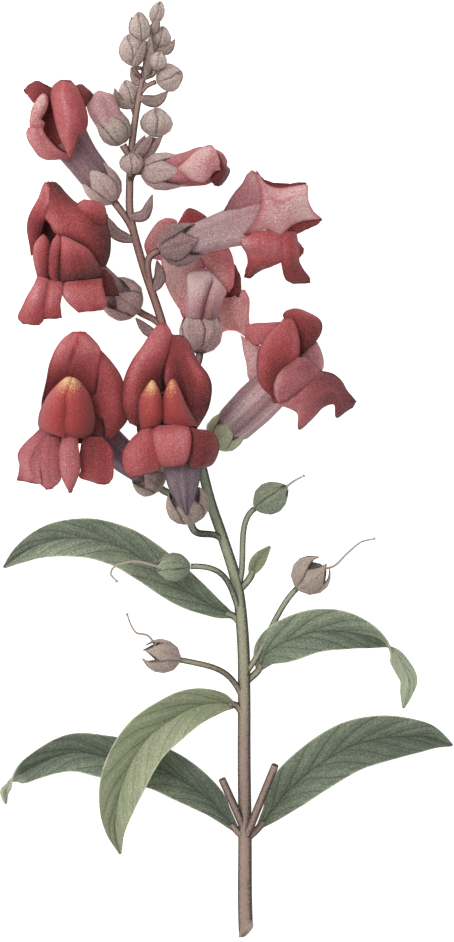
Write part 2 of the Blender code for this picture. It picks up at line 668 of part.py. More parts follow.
def leaf_rows(points, per_span=1):
    """Rows of places across a leaf, from its left edge over its midrib to its right edge."""
    places = spline([point[:3] for point in points], per_span)
    shape = spline([point[3:] for point in points], per_span)
    crease = math.radians(FOLD)
    rows = []
    for place, direction, (left, right, roll) in zip(places, tangents(places), shape):
        flat_side = direction.cross(Vector((0, 0, 1))).normalized()
        side = Matrix.Rotation(math.radians(roll), 3, direction) @ flat_side
        normal = side.cross(direction)
        row = []
        for x in (-left, -left / 2, 0, right / 2, right):
            row.append(place + side * (x * math.cos(crease)) + normal * (abs(x) * math.sin(crease)))
        rows.append(row)
    return on_table(rows)


def leaf(name, points):
    rows = leaf_rows(points)
    ribs = [1.5 - 0.9 * i / (len(rows) - 1) for i in range(len(rows))]
    depths = [[BLADE, BLADE, rib, BLADE, BLADE] for rib in ribs]
    pale = name in ("leaf_pale", "leaf_small")
    material = finish(*(("leaf_pale", LEAF_PALE) if pale else ("leaf_green", LEAF_GREEN)))
    node(name, [shell(rows, depths)], material)


# Putting it together


def petiole(points):
    """The foot of a leaf, from the stem's axis to just short of the blade."""
    start, after = Vector(points[0][:3]), Vector(points[1][:3])
    direction = (after - start).normalized()
    root, _ = nearest_on_stem(start.y - 1.6)
    end = start - direction * GAP
    return rod([root, end - direction * 0.9, end], [0.9, 0.95, 0.95])


def stem():
    meshes = [rod(stem_points(), stem_radii(), STEM_SIDES)]
    for bloom in (*FLOWERS.values(), *LARGE_BUDS.values()):
        axis = calyx_axis(bloom)
        way = stalk_path(bloom["root"], Vector(bloom["base"]), axis)
        meshes.append(rod(way, taper(PEDICEL_RADIUS, PEDICEL_RADIUS * 1.15, len(way))))
    for root, foot, tip, _ in SMALL_BUDS.values():
        foot, tip = Vector(foot), Vector(tip)
        way = stalk_path(root, foot, (tip - foot).normalized(), 3)
        meshes.append(rod(way, taper(0.5, 0.6, len(way)), 5))
    for shape in CAPSULES.values():
        foot, tip = Vector(shape["foot"]), Vector(shape["tip"])
        way = stalk_path(shape["root"], foot, (tip - foot).normalized(), 7)
        meshes.append(rod(way, taper(STALK_RADIUS, STALK_RADIUS, len(way))))
    for points in LEAVES.values():
        meshes.append(petiole(points))
    for root, tip, width in BRACTS:
        meshes.append(bract(root, tip, width, (0, 0, 1)))
    for root, tip in SIDE_SHOOTS:
        axis, _ = nearest_on_stem(root)
        end = Vector(tip)
        meshes.append(rod([axis, axis.lerp(end, 0.5), end], [1.05, 1.0, 0.95]))
    node("stem", meshes, finish("stem_green", STEM_GREEN))


def main():
    clear_scene()
    stem()
    for number, bloom in FLOWERS.items():
        calyx(number, bloom)
        corolla(number, bloom)
    for number, bud in LARGE_BUDS.items():
        calyx(number, bud)
        large_bud(number, bud)
    for name, (_, foot, tip, radius) in SMALL_BUDS.items():
        small_bud(name, foot, tip, radius)
    for name, shape in CAPSULES.items():
        capsule(name, shape)
    for name, points in LEAVES.items():
        leaf(name, points)


main()
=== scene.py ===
import json
import math

import bmesh
import bpy
import numpy as np
from mathutils import Matrix, Vector

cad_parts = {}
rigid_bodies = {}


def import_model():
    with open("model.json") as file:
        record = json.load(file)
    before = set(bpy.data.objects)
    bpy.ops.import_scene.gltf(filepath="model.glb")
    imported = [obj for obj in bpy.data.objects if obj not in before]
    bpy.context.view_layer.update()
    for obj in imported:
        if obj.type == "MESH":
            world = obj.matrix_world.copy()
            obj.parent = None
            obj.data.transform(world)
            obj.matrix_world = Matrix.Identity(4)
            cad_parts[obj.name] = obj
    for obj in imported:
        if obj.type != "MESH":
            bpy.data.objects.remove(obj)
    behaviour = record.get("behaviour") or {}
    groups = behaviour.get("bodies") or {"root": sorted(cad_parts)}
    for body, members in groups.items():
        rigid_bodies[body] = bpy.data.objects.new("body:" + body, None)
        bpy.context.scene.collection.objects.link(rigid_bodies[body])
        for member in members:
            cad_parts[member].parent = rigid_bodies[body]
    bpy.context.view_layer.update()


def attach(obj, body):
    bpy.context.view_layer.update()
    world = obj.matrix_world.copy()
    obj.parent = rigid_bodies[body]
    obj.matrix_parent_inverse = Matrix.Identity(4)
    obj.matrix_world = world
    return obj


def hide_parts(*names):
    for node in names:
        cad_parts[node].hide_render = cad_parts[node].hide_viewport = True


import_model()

# Places are in millimetres, as (across, along the stem, height above the table)
spray = dict(unit=0.001, middle=(-0.0895, 0.2165, 0.005), seed=7)


# Curves and sheets

def smoothLine(points, steps):
    # points along a smooth curve through the given ones, so many steps to a span
    p = np.array([tuple(point) for point in points], float)
    ends = np.vstack([2 * p[0] - p[1], p, 2 * p[-1] - p[-2]])
    found = []
    for a, b, c, d in zip(ends, ends[1:], ends[2:], ends[3:]):
        for i in range(steps):
            t = i / steps
            bend = (2 * a - 5 * b + 4 * c - d) * t ** 2 + (3 * b - a - 3 * c + d) * t ** 3
            found.append((2 * b + (c - a) * t + bend) / 2)
    return np.array([*found, p[-1]])


def pulledLine(start, startPull, endPull, end, steps):
    t = np.linspace(0, 1, steps + 1)[:, None]
    s = 1 - t
    start, startPull, endPull, end = (np.array(tuple(x), float) for x in (start, startPull, endPull, end))
    return start * s ** 3 + startPull * 3 * s * s * t + endPull * 3 * s * t * t + end * t ** 3


def softStep(x):
    x = np.clip(x, 0, 1)
    return x * x * (3 - 2 * x)


def unitOf(vectors):
    size = np.linalg.norm(vectors, axis=-1, keepdims=True)
    return vectors / np.maximum(size, 1e-9)


def waysOf(path):
    return unitOf(np.vstack([path[1] - path[0], path[2:] - path[:-2], path[-1] - path[-2]]))


def carriedSides(path, first):
    # a vector square to the path at each point, carried along it without twisting
    ways = [Vector(way) for way in waysOf(path)]
    side = Vector(first)
    side = (side - ways[0] * side.dot(ways[0])).normalized()
    sides = [side]
    for before, after in zip(ways, ways[1:]):
        side = before.rotation_difference(after) @ side
        side = (side - after * side.dot(after)).normalized()
        sides.append(side)
    return np.array(sides)


def ringAt(centre, side, other, turns, radii):
    # points round a centre, in the plane of two sides
    ways = np.outer(np.cos(turns), side) + np.outer(np.sin(turns), other)
    return np.array(centre) + ways * np.broadcast_to(radii, turns.shape)[:, None]


def gridMap(shape):
    # how far along a grid and how far across it each of its points lies, from 0 to 1
    return np.meshgrid(*(np.linspace(0, 1, count) for count in shape), indexing="ij")


def masksOf(tone, mauve, shape):
    masks = np.stack([np.broadcast_to(tone, shape), np.broadcast_to(mauve, shape)], axis=-1)
    return masks.reshape(-1, 2)


def startPiece(round=0.16):
    return dict(points=[], faces=[], flat=[], paint=[], finish=[], round=round)


def addFaces(piece, faces, finish):
    piece["faces"] += [tuple(int(corner) for corner in face) for face in faces]
    piece["finish"] += [finish] * len(faces)


def addSheet(piece, grid, wall, finish, tone, mauve=0.0, wrap=False, uv=None):
    # a thin closed sheet round a grid of points, painted with two masks
    grid = np.array(grid, float)
    rows, columns = grid.shape[:2]
    down = np.gradient(grid, axis=0)
    if wrap:
        wide = (np.roll(grid, -1, axis=1) - np.roll(grid, 1, axis=1)) / 2
    else:
        wide = np.gradient(grid, axis=1)
    normals = unitOf(np.cross(down, wide))
    top, low = grid + normals * (wall / 2), grid - normals * (wall / 2)
    index = np.arange(rows * columns).reshape(rows, columns) + len(piece["points"])
    under = index + rows * columns
    v, u = gridMap((rows, columns)) if uv is None else uv[::-1]
    piece["points"] += [*top.reshape(-1, 3), *low.reshape(-1, 3)]
    piece["flat"] += [*np.stack([u, v], axis=-1).reshape(-1, 2)] * 2
    piece["paint"] += [*masksOf(tone, mauve, u.shape)] * 2
    spans = columns if wrap else columns - 1
    faces = []
    for i in range(rows - 1):
        for j in range(spans):
            k = (j + 1) % columns
            faces.append((index[i, j], index[i + 1, j], index[i + 1, k], index[i, k]))
            faces.append((under[i, j], under[i, k], under[i + 1, k], under[i + 1, j]))
    for j in range(spans):
        k = (j + 1) % columns
        faces.append((index[0, j], index[0, k], under[0, k], under[0, j]))
        faces.append((index[-1, k], index[-1, j], under[-1, j], under[-1, k]))
    if not wrap:
        for i in range(rows - 1):
            faces.append((index[i + 1, 0], index[i, 0], under[i, 0], under[i + 1, 0]))
            faces.append((index[i, -1], index[i + 1, -1], under[i + 1, -1], under[i, -1]))
    addFaces(piece, faces, finish)


def addSolid(piece, rings, finish, tone, mauve=0.0):
    # a closed solid through rings of points, with a cap of one point at each end
    rings = np.array(rings, float)
    rows, columns = rings.shape[:2]
    start = len(piece["points"])
    index = np.arange(rows * columns).reshape(rows, columns) + start
    first, last = start + rows * columns, start + rows * columns + 1
    v, u = gridMap((rows, columns))
    masks = masksOf(tone, mauve, u.shape)
    piece["points"] += [*rings.reshape(-1, 3), rings[0].mean(axis=0), rings[-1].mean(axis=0)]
    piece["flat"] += [*np.stack([u, v], axis=-1).reshape(-1, 2), np.array((0.5, 0)), np.array((0.5, 1))]
    piece["paint"] += [*masks, masks[0], masks[-1]]
    faces = []
    for j in range(columns):
        k = (j + 1) % columns
        for i in range(rows - 1):
            faces.append((index[i, j], index[i + 1, j], index[i + 1, k], index[i, k]))
        faces.append((first, index[0, j], index[0, k]))
        faces.append((last, index[-1, k], index[-1, j]))
    addFaces(piece, faces, finish)


# lean sets how much more painted shade falls on the right side, flank where the painted highlight on the top
# gives way to shade
surface = dict(sharp=60, lean=0.4, flank=0.7)


def shadeForm(mesh, round, crestHighlight=0.0):
    # painted shade: the tone falls off down the sides of a form, more so on its right side away from the
    # light, and a painted highlight lightens the top of the form
    normals = np.zeros(len(mesh.vertices) * 3, np.float32)
    mesh.vertex_normals.foreach_get("vector", normals)
    normals = normals.reshape(-1, 3)
    layer = mesh.attributes["tone"]
    tone = np.zeros(len(mesh.vertices), np.float32)
    layer.data.foreach_get("value", tone)
    turned = 1 - np.abs(normals[:, 2])
    tone -= round * turned ** 2 + surface["lean"] * round * normals[:, 0] * np.sign(normals[:, 2] + 1e-6)
    tone += crestHighlight * (normals[:, 2] ** 2 - surface["flank"])
    layer.data.foreach_set("value", tone)


def paintMask(mesh, mask, values):
    layer = mesh.attributes.new(mask, "FLOAT", "POINT")
    layer.data.foreach_set("value", np.full(len(mesh.vertices), values, np.float32))


def newObject(name, data):
    made = bpy.data.objects.new(name, data)
    bpy.context.scene.collection.objects.link(made)
    return made


def makePiece(piece, name, nodes):
    points = (np.array(piece["points"]) - np.array(spray["middle"])) * spray["unit"]
    mesh = bpy.data.meshes.new(name)
    mesh.from_pydata(points.tolist(), [], piece["faces"])
    names = list(dict.fromkeys(piece["finish"]))
    for each in names:
        mesh.materials.append(finishes[each])
    mesh.polygons.foreach_set("material_index", [names.index(each) for each in piece["finish"]])
    paint = np.array(piece["paint"])
    for column, mask in enumerate(("tone", "mauve")):
        paintMask(mesh, mask, paint[:, column])
    corners = np.zeros(len(mesh.loops), np.int32)
    mesh.loops.foreach_get("vertex_index", corners)
    flat = mesh.uv_layers.new(name="growth")
    flat.data.foreach_set("uv", np.array(piece["flat"])[corners].astype(np.float32).ravel())
    mesh.validate()
    work = bmesh.new()
    work.from_mesh(mesh)
    bmesh.ops.recalc_face_normals(work, faces=work.faces)
    work.to_mesh(mesh)
    work.free()
    mesh.shade_smooth()
    mesh.set_sharp_from_angle(angle=math.radians(surface["sharp"]))
    # paint shade down the sides of every form into its tone
    shadeForm(mesh, piece["round"])
    made = newObject(name, mesh)
    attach(made, "root")
    if nodes:
        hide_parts(*nodes)
    return made


# Finishes

def platePaint(red, green, blue):
    # a printed colour, 0 to 255, as linear light
    def linear(value):
        value /= 255
        return value / 12.92 if value < 0.04045 else ((value + 0.055) / 1.055) ** 2.4
    return (linear(red), linear(green), linear(blue), 1.0)


def addNode(tree, kind, place, **inputs):
    made = tree.nodes.new(kind)
    made.location = (place[0] * 220, place[1] * -220)
    for name, value in inputs.items():
        made.inputs[name].default_value = value
    return made


def linkAll(tree, *links):
    for source, output, target, socket in links:
        tree.links.new(source.outputs[output], target.inputs[socket])


def rampNode(tree, place, stops, value):
    ramp = addNode(tree, "ShaderNodeValToRGB", place)
    while len(ramp.color_ramp.elements) < len(stops):
        ramp.color_ramp.elements.new(0.5)
    for element, (where, colour) in zip(ramp.color_ramp.elements, stops):
        element.position = where
        element.color = platePaint(*colour)
    tree.links.new(value, ramp.inputs["Fac"])
    return ramp.outputs["Color"]


def mathNode(tree, place, operation, first, second, clamp=False):
    made = addNode(tree, "ShaderNodeMath", place)
    made.operation = operation
    made.use_clamp = clamp
    for socket, value in zip(made.inputs, (first, second)):
        if isinstance(value, (int, float)):
            socket.default_value = value
        else:
            tree.links.new(value, socket)
    return made.outputs["Value"]


def colourMix(tree, place, blend, amount, first, second):
    made = tree.nodes.new("ShaderNodeMix")
    made.location = (place[0] * 220, place[1] * -220)
    made.data_type = "RGBA"
    made.blend_type = blend
    sockets = {"Factor": made.inputs[0], "A": made.inputs[6], "B": made.inputs[7]}
    for key, value in (("Factor", amount), ("A", first), ("B", second)):
        if isinstance(value, (int, float, tuple)):
            sockets[key].default_value = value
        else:
            tree.links.new(value, sockets[key])
    return made.outputs[2]


def newGroup(name, inputs, outputs):
    group = bpy.data.node_groups.new(name, "ShaderNodeTree")
    for label, kind, value in inputs:
        socket = group.interface.new_socket(name=label, in_out="INPUT", socket_type=kind)
        if value is not None:
            socket.default_value = value
    for label, kind in outputs:
        group.interface.new_socket(name=label, in_out="OUTPUT", socket_type=kind)
    return group, group.nodes.new("NodeGroupInput"), group.nodes.new("NodeGroupOutput")


grain = dict(fineness=2600.0, blotch=160.0, speck=1.6, pit=0.7, cloud=0.55, pitLevel=0.45)


def makeStipple():
    # the fine pitted grain of downy skin: a speckle mask and its height
    group, given, result = newGroup(
        "downyStipple",
        [("Coordinates", "NodeSocketVector", None), ("Fineness", "NodeSocketFloat", grain["fineness"]),
         ("Blotch", "NodeSocketFloat", grain["blotch"])],
        [("Speckle", "NodeSocketFloat"), ("Height", "NodeSocketFloat")])
    fine = addNode(group, "ShaderNodeTexNoise", (1, 0), Detail=2.0, Roughness=0.7)
    pits = addNode(group, "ShaderNodeTexVoronoi", (1, 1))
    broad = addNode(group, "ShaderNodeTexNoise", (1, 2), Detail=3.0)
    for texture, size in ((fine, "Fineness"), (pits, "Fineness"), (broad, "Blotch")):
        linkAll(group, (given, "Coordinates", texture, "Vector"), (given, size, texture, "Scale"))
    speck = mathNode(group, (2, 0), "SUBTRACT", fine.outputs["Fac"], 0.5)
    pit = mathNode(group, (2, 1), "SUBTRACT", pits.outputs["Distance"], grain["pitLevel"])
    cloud = mathNode(group, (2, 2), "SUBTRACT", broad.outputs["Fac"], 0.5)
    both = mathNode(group, (3, 0), "ADD", mathNode(group, (3, 1), "MULTIPLY", speck, grain["speck"]),
                    mathNode(group, (3, 2), "MULTIPLY", pit, grain["pit"]))
    whole = mathNode(group, (4, 1), "ADD", both,
                     mathNode(group, (4, 2), "MULTIPLY", cloud, grain["cloud"]))
    group.links.new(whole, result.inputs["Speckle"])
    group.links.new(both, result.inputs["Height"])
    return group


def makeFibres():
    # fine lines that run with the growth of a petal or sepal, by its own map
    group, given, result = newGroup(
        "growthFibres",
        [("Map", "NodeSocketVector", None), ("Count", "NodeSocketFloat", 30.0),
         ("Stretch", "NodeSocketFloat", 1.6)],
        [("Line", "NodeSocketFloat")])
    parts = addNode(group, "ShaderNodeSeparateXYZ", (1, 0))
    group.links.new(given.outputs["Map"], parts.inputs["Vector"])
    across = mathNode(group, (2, 0), "MULTIPLY", parts.outputs["X"], given.outputs["Count"])
    along = mathNode(group, (2, 1), "MULTIPLY", parts.outputs["Y"], given.outputs["Stretch"])
    joined = addNode(group, "ShaderNodeCombineXYZ", (3, 0))
    group.links.new(across, joined.inputs["X"])
    group.links.new(along, joined.inputs["Y"])
    streak = addNode(group, "ShaderNodeTexNoise", (4, 0), Scale=1.0, Detail=2.0, Roughness=0.6)
    group.links.new(joined.outputs["Vector"], streak.inputs["Vector"])
    group.links.new(mathNode(group, (5, 0), "SUBTRACT", streak.outputs["Fac"], 0.5),
                    result.inputs["Line"])
    return group


stipple = makeStipple()
fibres = makeFibres()


skinCut = dict(shine=0.25, bump=0.5, fibreHeight=2.0)


def newFinish(name, roughness, sheen):
    material = bpy.data.materials.new(name)
    material.use_nodes = True
    tree = material.node_tree
    shader = tree.nodes["Principled BSDF"]
    shader.inputs["Roughness"].default_value = roughness
    shader.inputs["Sheen Weight"].default_value = sheen
    shader.inputs["Specular IOR Level"].default_value = skinCut["shine"]
    return material, tree, shader


def skinBase(tree, look):
    # the shared start of every skin: speckle, fibres and the tone painted by the mesh
    place = addNode(tree, "ShaderNodeTexCoord", (-9, 0))
    specks = addNode(tree, "ShaderNodeGroup", (-8, 0))
    specks.node_tree = stipple
    specks.inputs["Fineness"].default_value = look["fineness"]
    tree.links.new(place.outputs["Object"], specks.inputs["Coordinates"])
    lines = addNode(tree, "ShaderNodeGroup", (-8, 2))
    lines.node_tree = fibres
    lines.inputs["Count"].default_value = look["fibres"]
    tree.links.new(place.outputs["UV"], lines.inputs["Map"])
    tone = addNode(tree, "ShaderNodeAttribute", (-8, 1))
    tone.attribute_name = "tone"
    speck = mathNode(tree, (-7, 0), "MULTIPLY", specks.outputs["Speckle"], look["speckle"])
    streak = mathNode(tree, (-7, 2), "MULTIPLY", lines.outputs["Line"], look["streak"])
    value = mathNode(tree, (-6, 1), "ADD", tone.outputs["Fac"], mathNode(tree, (-6, 0), "ADD", speck, streak))
    height = mathNode(tree, (-5, 3), "ADD", specks.outputs["Height"],
                      mathNode(tree, (-6, 3), "MULTIPLY", lines.outputs["Line"], skinCut["fibreHeight"]))
    return value, height, place


def finishSkin(tree, shader, colour, height, depth):
    bump = addNode(tree, "ShaderNodeBump", (-2, 3), Strength=skinCut["bump"], Distance=depth)
    tree.links.new(height, bump.inputs["Height"])
    tree.links.new(bump.outputs["Normal"], shader.inputs["Normal"])
    tree.links.new(colour, shader.inputs["Base Color"])


def makeSkin(name, stops, look, mauveStops=None):
    material, tree, shader = newFinish(name, look["roughness"], look["sheen"])
    value, height, _ = skinBase(tree, look)
    colour = rampNode(tree, (-4, 0), stops, value)
    if mauveStops:
        mask = addNode(tree, "ShaderNodeAttribute", (-5, 2))
        mask.attribute_name = "mauve"
        cold = rampNode(tree, (-4, 1), mauveStops, value)
        colour = colourMix(tree, (-3, 0), "MIX", mask.outputs["Fac"], colour, cold)
    finishSkin(tree, shader, colour, height, look["depth"])
    return material


petalLook = dict(
    fineness=2600, speckle=0.36, fibres=26, streak=0.18, roughness=0.72, sheen=0.12, depth=0.00012,
)
downLook = dict(
    fineness=2400, speckle=0.5, fibres=14, streak=0.24, roughness=0.85, sheen=0.1, depth=0.00016,
)
crimsonStops = [
    (0.0, (48, 22, 24)), (0.15, (86, 38, 38)), (0.3, (124, 55, 54)), (0.45, (155, 65, 66)),
    (0.6, (178, 85, 88)), (0.75, (194, 108, 111)), (0.88, (208, 138, 138)), (1.0, (220, 184, 180)),
]
mauveStops = [
    (0.0, (50, 40, 46)), (0.2, (84, 72, 80)), (0.4, (112, 98, 108)), (0.6, (148, 124, 128)),
    (0.8, (182, 158, 160)), (1.0, (216, 198, 194)),
]
palateStops = [
    (0.0, (96, 40, 42)), (0.3, (154, 62, 62)), (0.5, (178, 72, 72)), (0.65, (198, 106, 88)),
    (0.8, (230, 186, 130)), (1.0, (246, 228, 174)),
]
sepalStops = [
    (0.0, (62, 48, 50)), (0.25, (100, 80, 82)), (0.5, (144, 113, 113)), (0.75, (178, 148, 145)),
    (1.0, (208, 186, 178)),
]
greenSepalStops = [
    (0.0, (74, 76, 60)), (0.3, (120, 124, 98)), (0.6, (164, 166, 134)), (1.0, (206, 204, 174)),
]
budStops = [
    (0.0, (80, 66, 62)), (0.3, (122, 104, 96)), (0.6, (166, 148, 138)), (1.0, (220, 204, 194)),
]
huskStops = [
    (0.0, (60, 46, 42)), (0.3, (103, 88, 82)), (0.6, (146, 130, 120)), (1.0, (194, 176, 164)),
]
podStops = [
    (0.0, (58, 64, 52)), (0.3, (96, 104, 86)), (0.6, (132, 140, 118)), (1.0, (180, 184, 158)),
]

finishes = {
    "petal": makeSkin("petalSkin", crimsonStops, petalLook, mauveStops),
    "palate": makeSkin("palateSkin", palateStops, petalLook),
    "sepal": makeSkin("sepalSkin", sepalStops, downLook),
    "greenSepal": makeSkin("greenSepalSkin", greenSepalStops, downLook, mauveStops),
    "bud": makeSkin("budSkin", budStops, downLook, sepalStops),
    "husk": makeSkin("huskSkin", huskStops, downLook),
    "pod": makeSkin("podSkin", podStops, downLook),
}


stalkLook = dict(downLook, streak=0.3, fibres=18, roughness=0.7, reach=0.117)
stalkStops = [
    (0.0, (174, 150, 138)), (0.2, (182, 156, 144)), (0.3, (182, 178, 152)), (0.42, (172, 182, 154)),
    (0.5, (162, 176, 148)), (0.56, (168, 142, 130)), (0.7, (178, 132, 126)), (0.82, (184, 149, 141)),
]
shadeStops = [
    (0.0, (54, 48, 46)), (0.35, (146, 140, 138)), (0.65, (224, 224, 222)), (1.0, (255, 255, 255)),
]


def makeStalkFinish():
    # brown at the cut end, green along the middle and mauve among the flowers, by place
    material, tree, shader = newFinish("stalkSkin", stalkLook["roughness"], stalkLook["sheen"])
    value, height, place = skinBase(tree, stalkLook)
    parts = addNode(tree, "ShaderNodeSeparateXYZ", (-7, 4))
    tree.links.new(place.outputs["Object"], parts.inputs["Vector"])
    along = addNode(tree, "ShaderNodeMapRange", (-6, 4))
    along.inputs["From Min"].default_value = -stalkLook["reach"]
    along.inputs["From Max"].default_value = stalkLook["reach"]
    tree.links.new(parts.outputs["Y"], along.inputs["Value"])
    middle = rampNode(tree, (-4, 4), stalkStops, along.outputs["Result"])
    shade = rampNode(tree, (-4, 0), shadeStops, value)
    colour = colourMix(tree, (-3, 1), "MULTIPLY", 1.0, middle, shade)
    finishSkin(tree, shader, colour, height, stalkLook["depth"])
    return material


finishes["stalk"] = makeStalkFinish()


bladeLook = dict(
    fineness=2400, speckle=0.42, fibres=40, streak=0.06, roughness=0.62, sheen=0.05, depth=0.0002,
)
bladeVeins = dict(
    count=8.0, lean=1.9, bend=0.8, offset=0.45, wobble=0.5, width=0.075, midrib=0.022,
    dark=0.2, pale=-0.16, slope=0.1, edgeStart=0.47, edgeGain=12.0, relief=0.5,
)


def makeLeafFinish(name, stops, veins):
    # sunken side veins that leave the midrib and sweep forward, by the blade's own map
    material, tree, shader = newFinish(name, bladeLook["roughness"], bladeLook["sheen"])
    value, height, place = skinBase(tree, bladeLook)

    def count(where, operation, first, second=0.0, clamp=False):
        return mathNode(tree, where, operation, first, second, clamp)

    parts = addNode(tree, "ShaderNodeSeparateXYZ", (-8, 5))
    wobble = addNode(tree, "ShaderNodeTexNoise", (-7, 8), Scale=90.0, Detail=1.0)
    linkAll(tree, (place, "UV", parts, "Vector"), (place, "Object", wobble, "Vector"))
    aside = count((-7, 5), "SUBTRACT", parts.outputs["X"], 0.5)
    halfSide = count((-7, 6), "ABSOLUTE", aside)
    sideOf = count((-7, 7), "GREATER_THAN", aside)
    sweep = count((-6, 6), "POWER", count((-6, 7), "MULTIPLY", halfSide, 2.0), veins["bend"])
    lean = count((-5, 7), "MULTIPLY", sweep, veins["lean"])
    shift = count((-6, 8), "MULTIPLY", sideOf, veins["offset"])
    stray = count((-5, 9), "MULTIPLY", wobble.outputs["Fac"], veins["wobble"])
    number = count((-5, 5), "MULTIPLY", parts.outputs["Y"], veins["count"])
    number = count((-5, 6), "SUBTRACT", number, lean)
    number = count((-5, 8), "ADD", number, shift)
    part = count((-4, 6), "FRACT", count((-4, 8), "ADD", number, stray))
    fromVein = count((-3, 7), "SUBTRACT", part, 0.5)
    off = count((-3, 6), "ABSOLUTE", fromVein)
    side = count((-2, 6), "SUBTRACT", 1.0, count((-2, 7), "DIVIDE", off, veins["width"]), True)
    main = count((-2, 5), "SUBTRACT", 1.0, count((-3, 5), "DIVIDE", halfSide, veins["midrib"]), True)
    rim = count((-3, 9), "SUBTRACT", halfSide, veins["edgeStart"])
    edge = count((-2, 9), "MULTIPLY", rim, veins["edgeGain"], True)
    # the tone climbs from vein to vein and drops back halfway between them, so one side of each swelling
    # between the veins is painted lighter and the other darker, a painted shade
    value = count((-1, 0), "ADD", value, count((-2, 8), "MULTIPLY", fromVein, veins["slope"]))
    value = count((-1, 1), "SUBTRACT", value, count((-1, 6), "MULTIPLY", side, veins["dark"]))
    value = count((-1, 2), "ADD", value, count((-1, 3), "MULTIPLY", main, veins["pale"]))
    value = count((-1, 4), "ADD", value, edge)
    colour = rampNode(tree, (0, 1), stops, value)
    height = count((0, 3), "SUBTRACT", count((0, 4), "MULTIPLY", height, veins["relief"]), side)
    finishSkin(tree, shader, colour, height, bladeLook["depth"])
    return material


leafStops = [
    (0.0, (44, 52, 42)), (0.25, (78, 88, 72)), (0.5, (102, 111, 96)), (0.75, (138, 148, 124)),
    (1.0, (184, 190, 162)),
]
paleLeafStops = [
    (0.0, (66, 72, 54)), (0.25, (104, 110, 86)), (0.5, (138, 146, 114)), (0.75, (162, 168, 136)),
    (1.0, (198, 202, 168)),
]
paleVeins = dict(bladeVeins, count=7.0)
finishes["leaf"] = makeLeafFinish("bladeSkin", leafStops, bladeVeins)
finishes["paleLeaf"] = makeLeafFinish("paleBladeSkin", paleLeafStops, paleVeins)
print("finishes ready")


# Petals: each is a stack of rows from its root to its edge. A row gives its left end, its right end
# and the heights of the left end, the middle and the right end. Two more numbers shift the middle.

petalCut = dict(
    alongSpan=7, across=26, wall=0.34, crown=2.2, outline=0.2, outlineWidth=3, ruffle=(5, 0.25),
    round=0.12,
)


def petalGrid(rows):
    full = [(*row, 0.0, 0.0)[:9] for row in rows]
    fine = smoothLine(full, petalCut["alongSpan"])
    s = np.linspace(-1, 1, petalCut["across"])
    grid = []
    for xl, yl, xr, yr, zl, zm, zr, bx, by in fine:
        left, right = np.array((xl, yl, zl)), np.array((xr, yr, zr))
        flat = left[None] * ((1 - s) / 2)[:, None] + right[None] * ((1 + s) / 2)[:, None]
        bulge = 1 - np.abs(s) ** petalCut["crown"]
        flat[:, 2] += (zm - (zl + zr) / 2) * bulge
        flat[:, 0] += bx * (1 - s * s)
        flat[:, 1] += by * (1 - s * s)
        grid.append(flat)
    return np.array(grid)


# a petal's tone runs along its rows, partly its own colour and partly painted shade and light; one side may
# be painted darker or lighter, spots of painted highlight and painted shade lie on it, and its rim gets a
# dark outline
def petalTone(shape, petal):
    rows, columns = shape
    v, u = gridMap(shape)
    tones = petal["tone"]
    tone = np.interp(v, np.linspace(0, 1, len(tones)), tones)
    left, right = petal.get("sides", (0, 0))
    tone = tone + left * (1 - u) ** 3 + right * u ** 3
    for across, along, wide, tall, amount in petal.get("shadeAndHighlights", []):
        tone = tone + amount * np.exp(-((u - across) / wide) ** 2 - ((v - along) / tall) ** 2)
    rim = np.minimum(np.minimum(u, 1 - u) * 2 * columns, (1 - v) * rows)
    return tone - petalCut["outline"] * np.clip(1 - rim / petalCut["outlineWidth"], 0, 1)


def foldPetal(grid, petal):
    # pleats that run along the petal and a ruffled edge, both as changes of height
    v, u = gridMap(grid.shape[:2])
    fromMiddle = np.abs(2 * u - 1)
    count, depth = petal.get("pleats", (0, 0))
    pleats = depth * np.cos(2 * math.pi * count * (u - 0.5))
    grid[..., 2] += pleats * softStep(v * 2) * (1 - fromMiddle ** 3)
    waves, lift = petal.get("ruffle", petalCut["ruffle"])
    grid[..., 2] += lift * np.sin(waves * math.pi * (v + u * 0.7)) * np.maximum(fromMiddle, v) ** 6
    return grid


# the last two set the painted shade down the stem's sides and the painted highlight along its top
def addPetal(piece, petal):
    grid = foldPetal(petalGrid(petal["rows"]), petal)
    grid[..., 2] += petal.get("lift", 0)
    tone = petalTone(grid.shape[:2], petal)
    addSheet(piece, grid, petalCut["wall"], petal.get("finish", "petal"), tone, petal.get("mauve", 0.0))


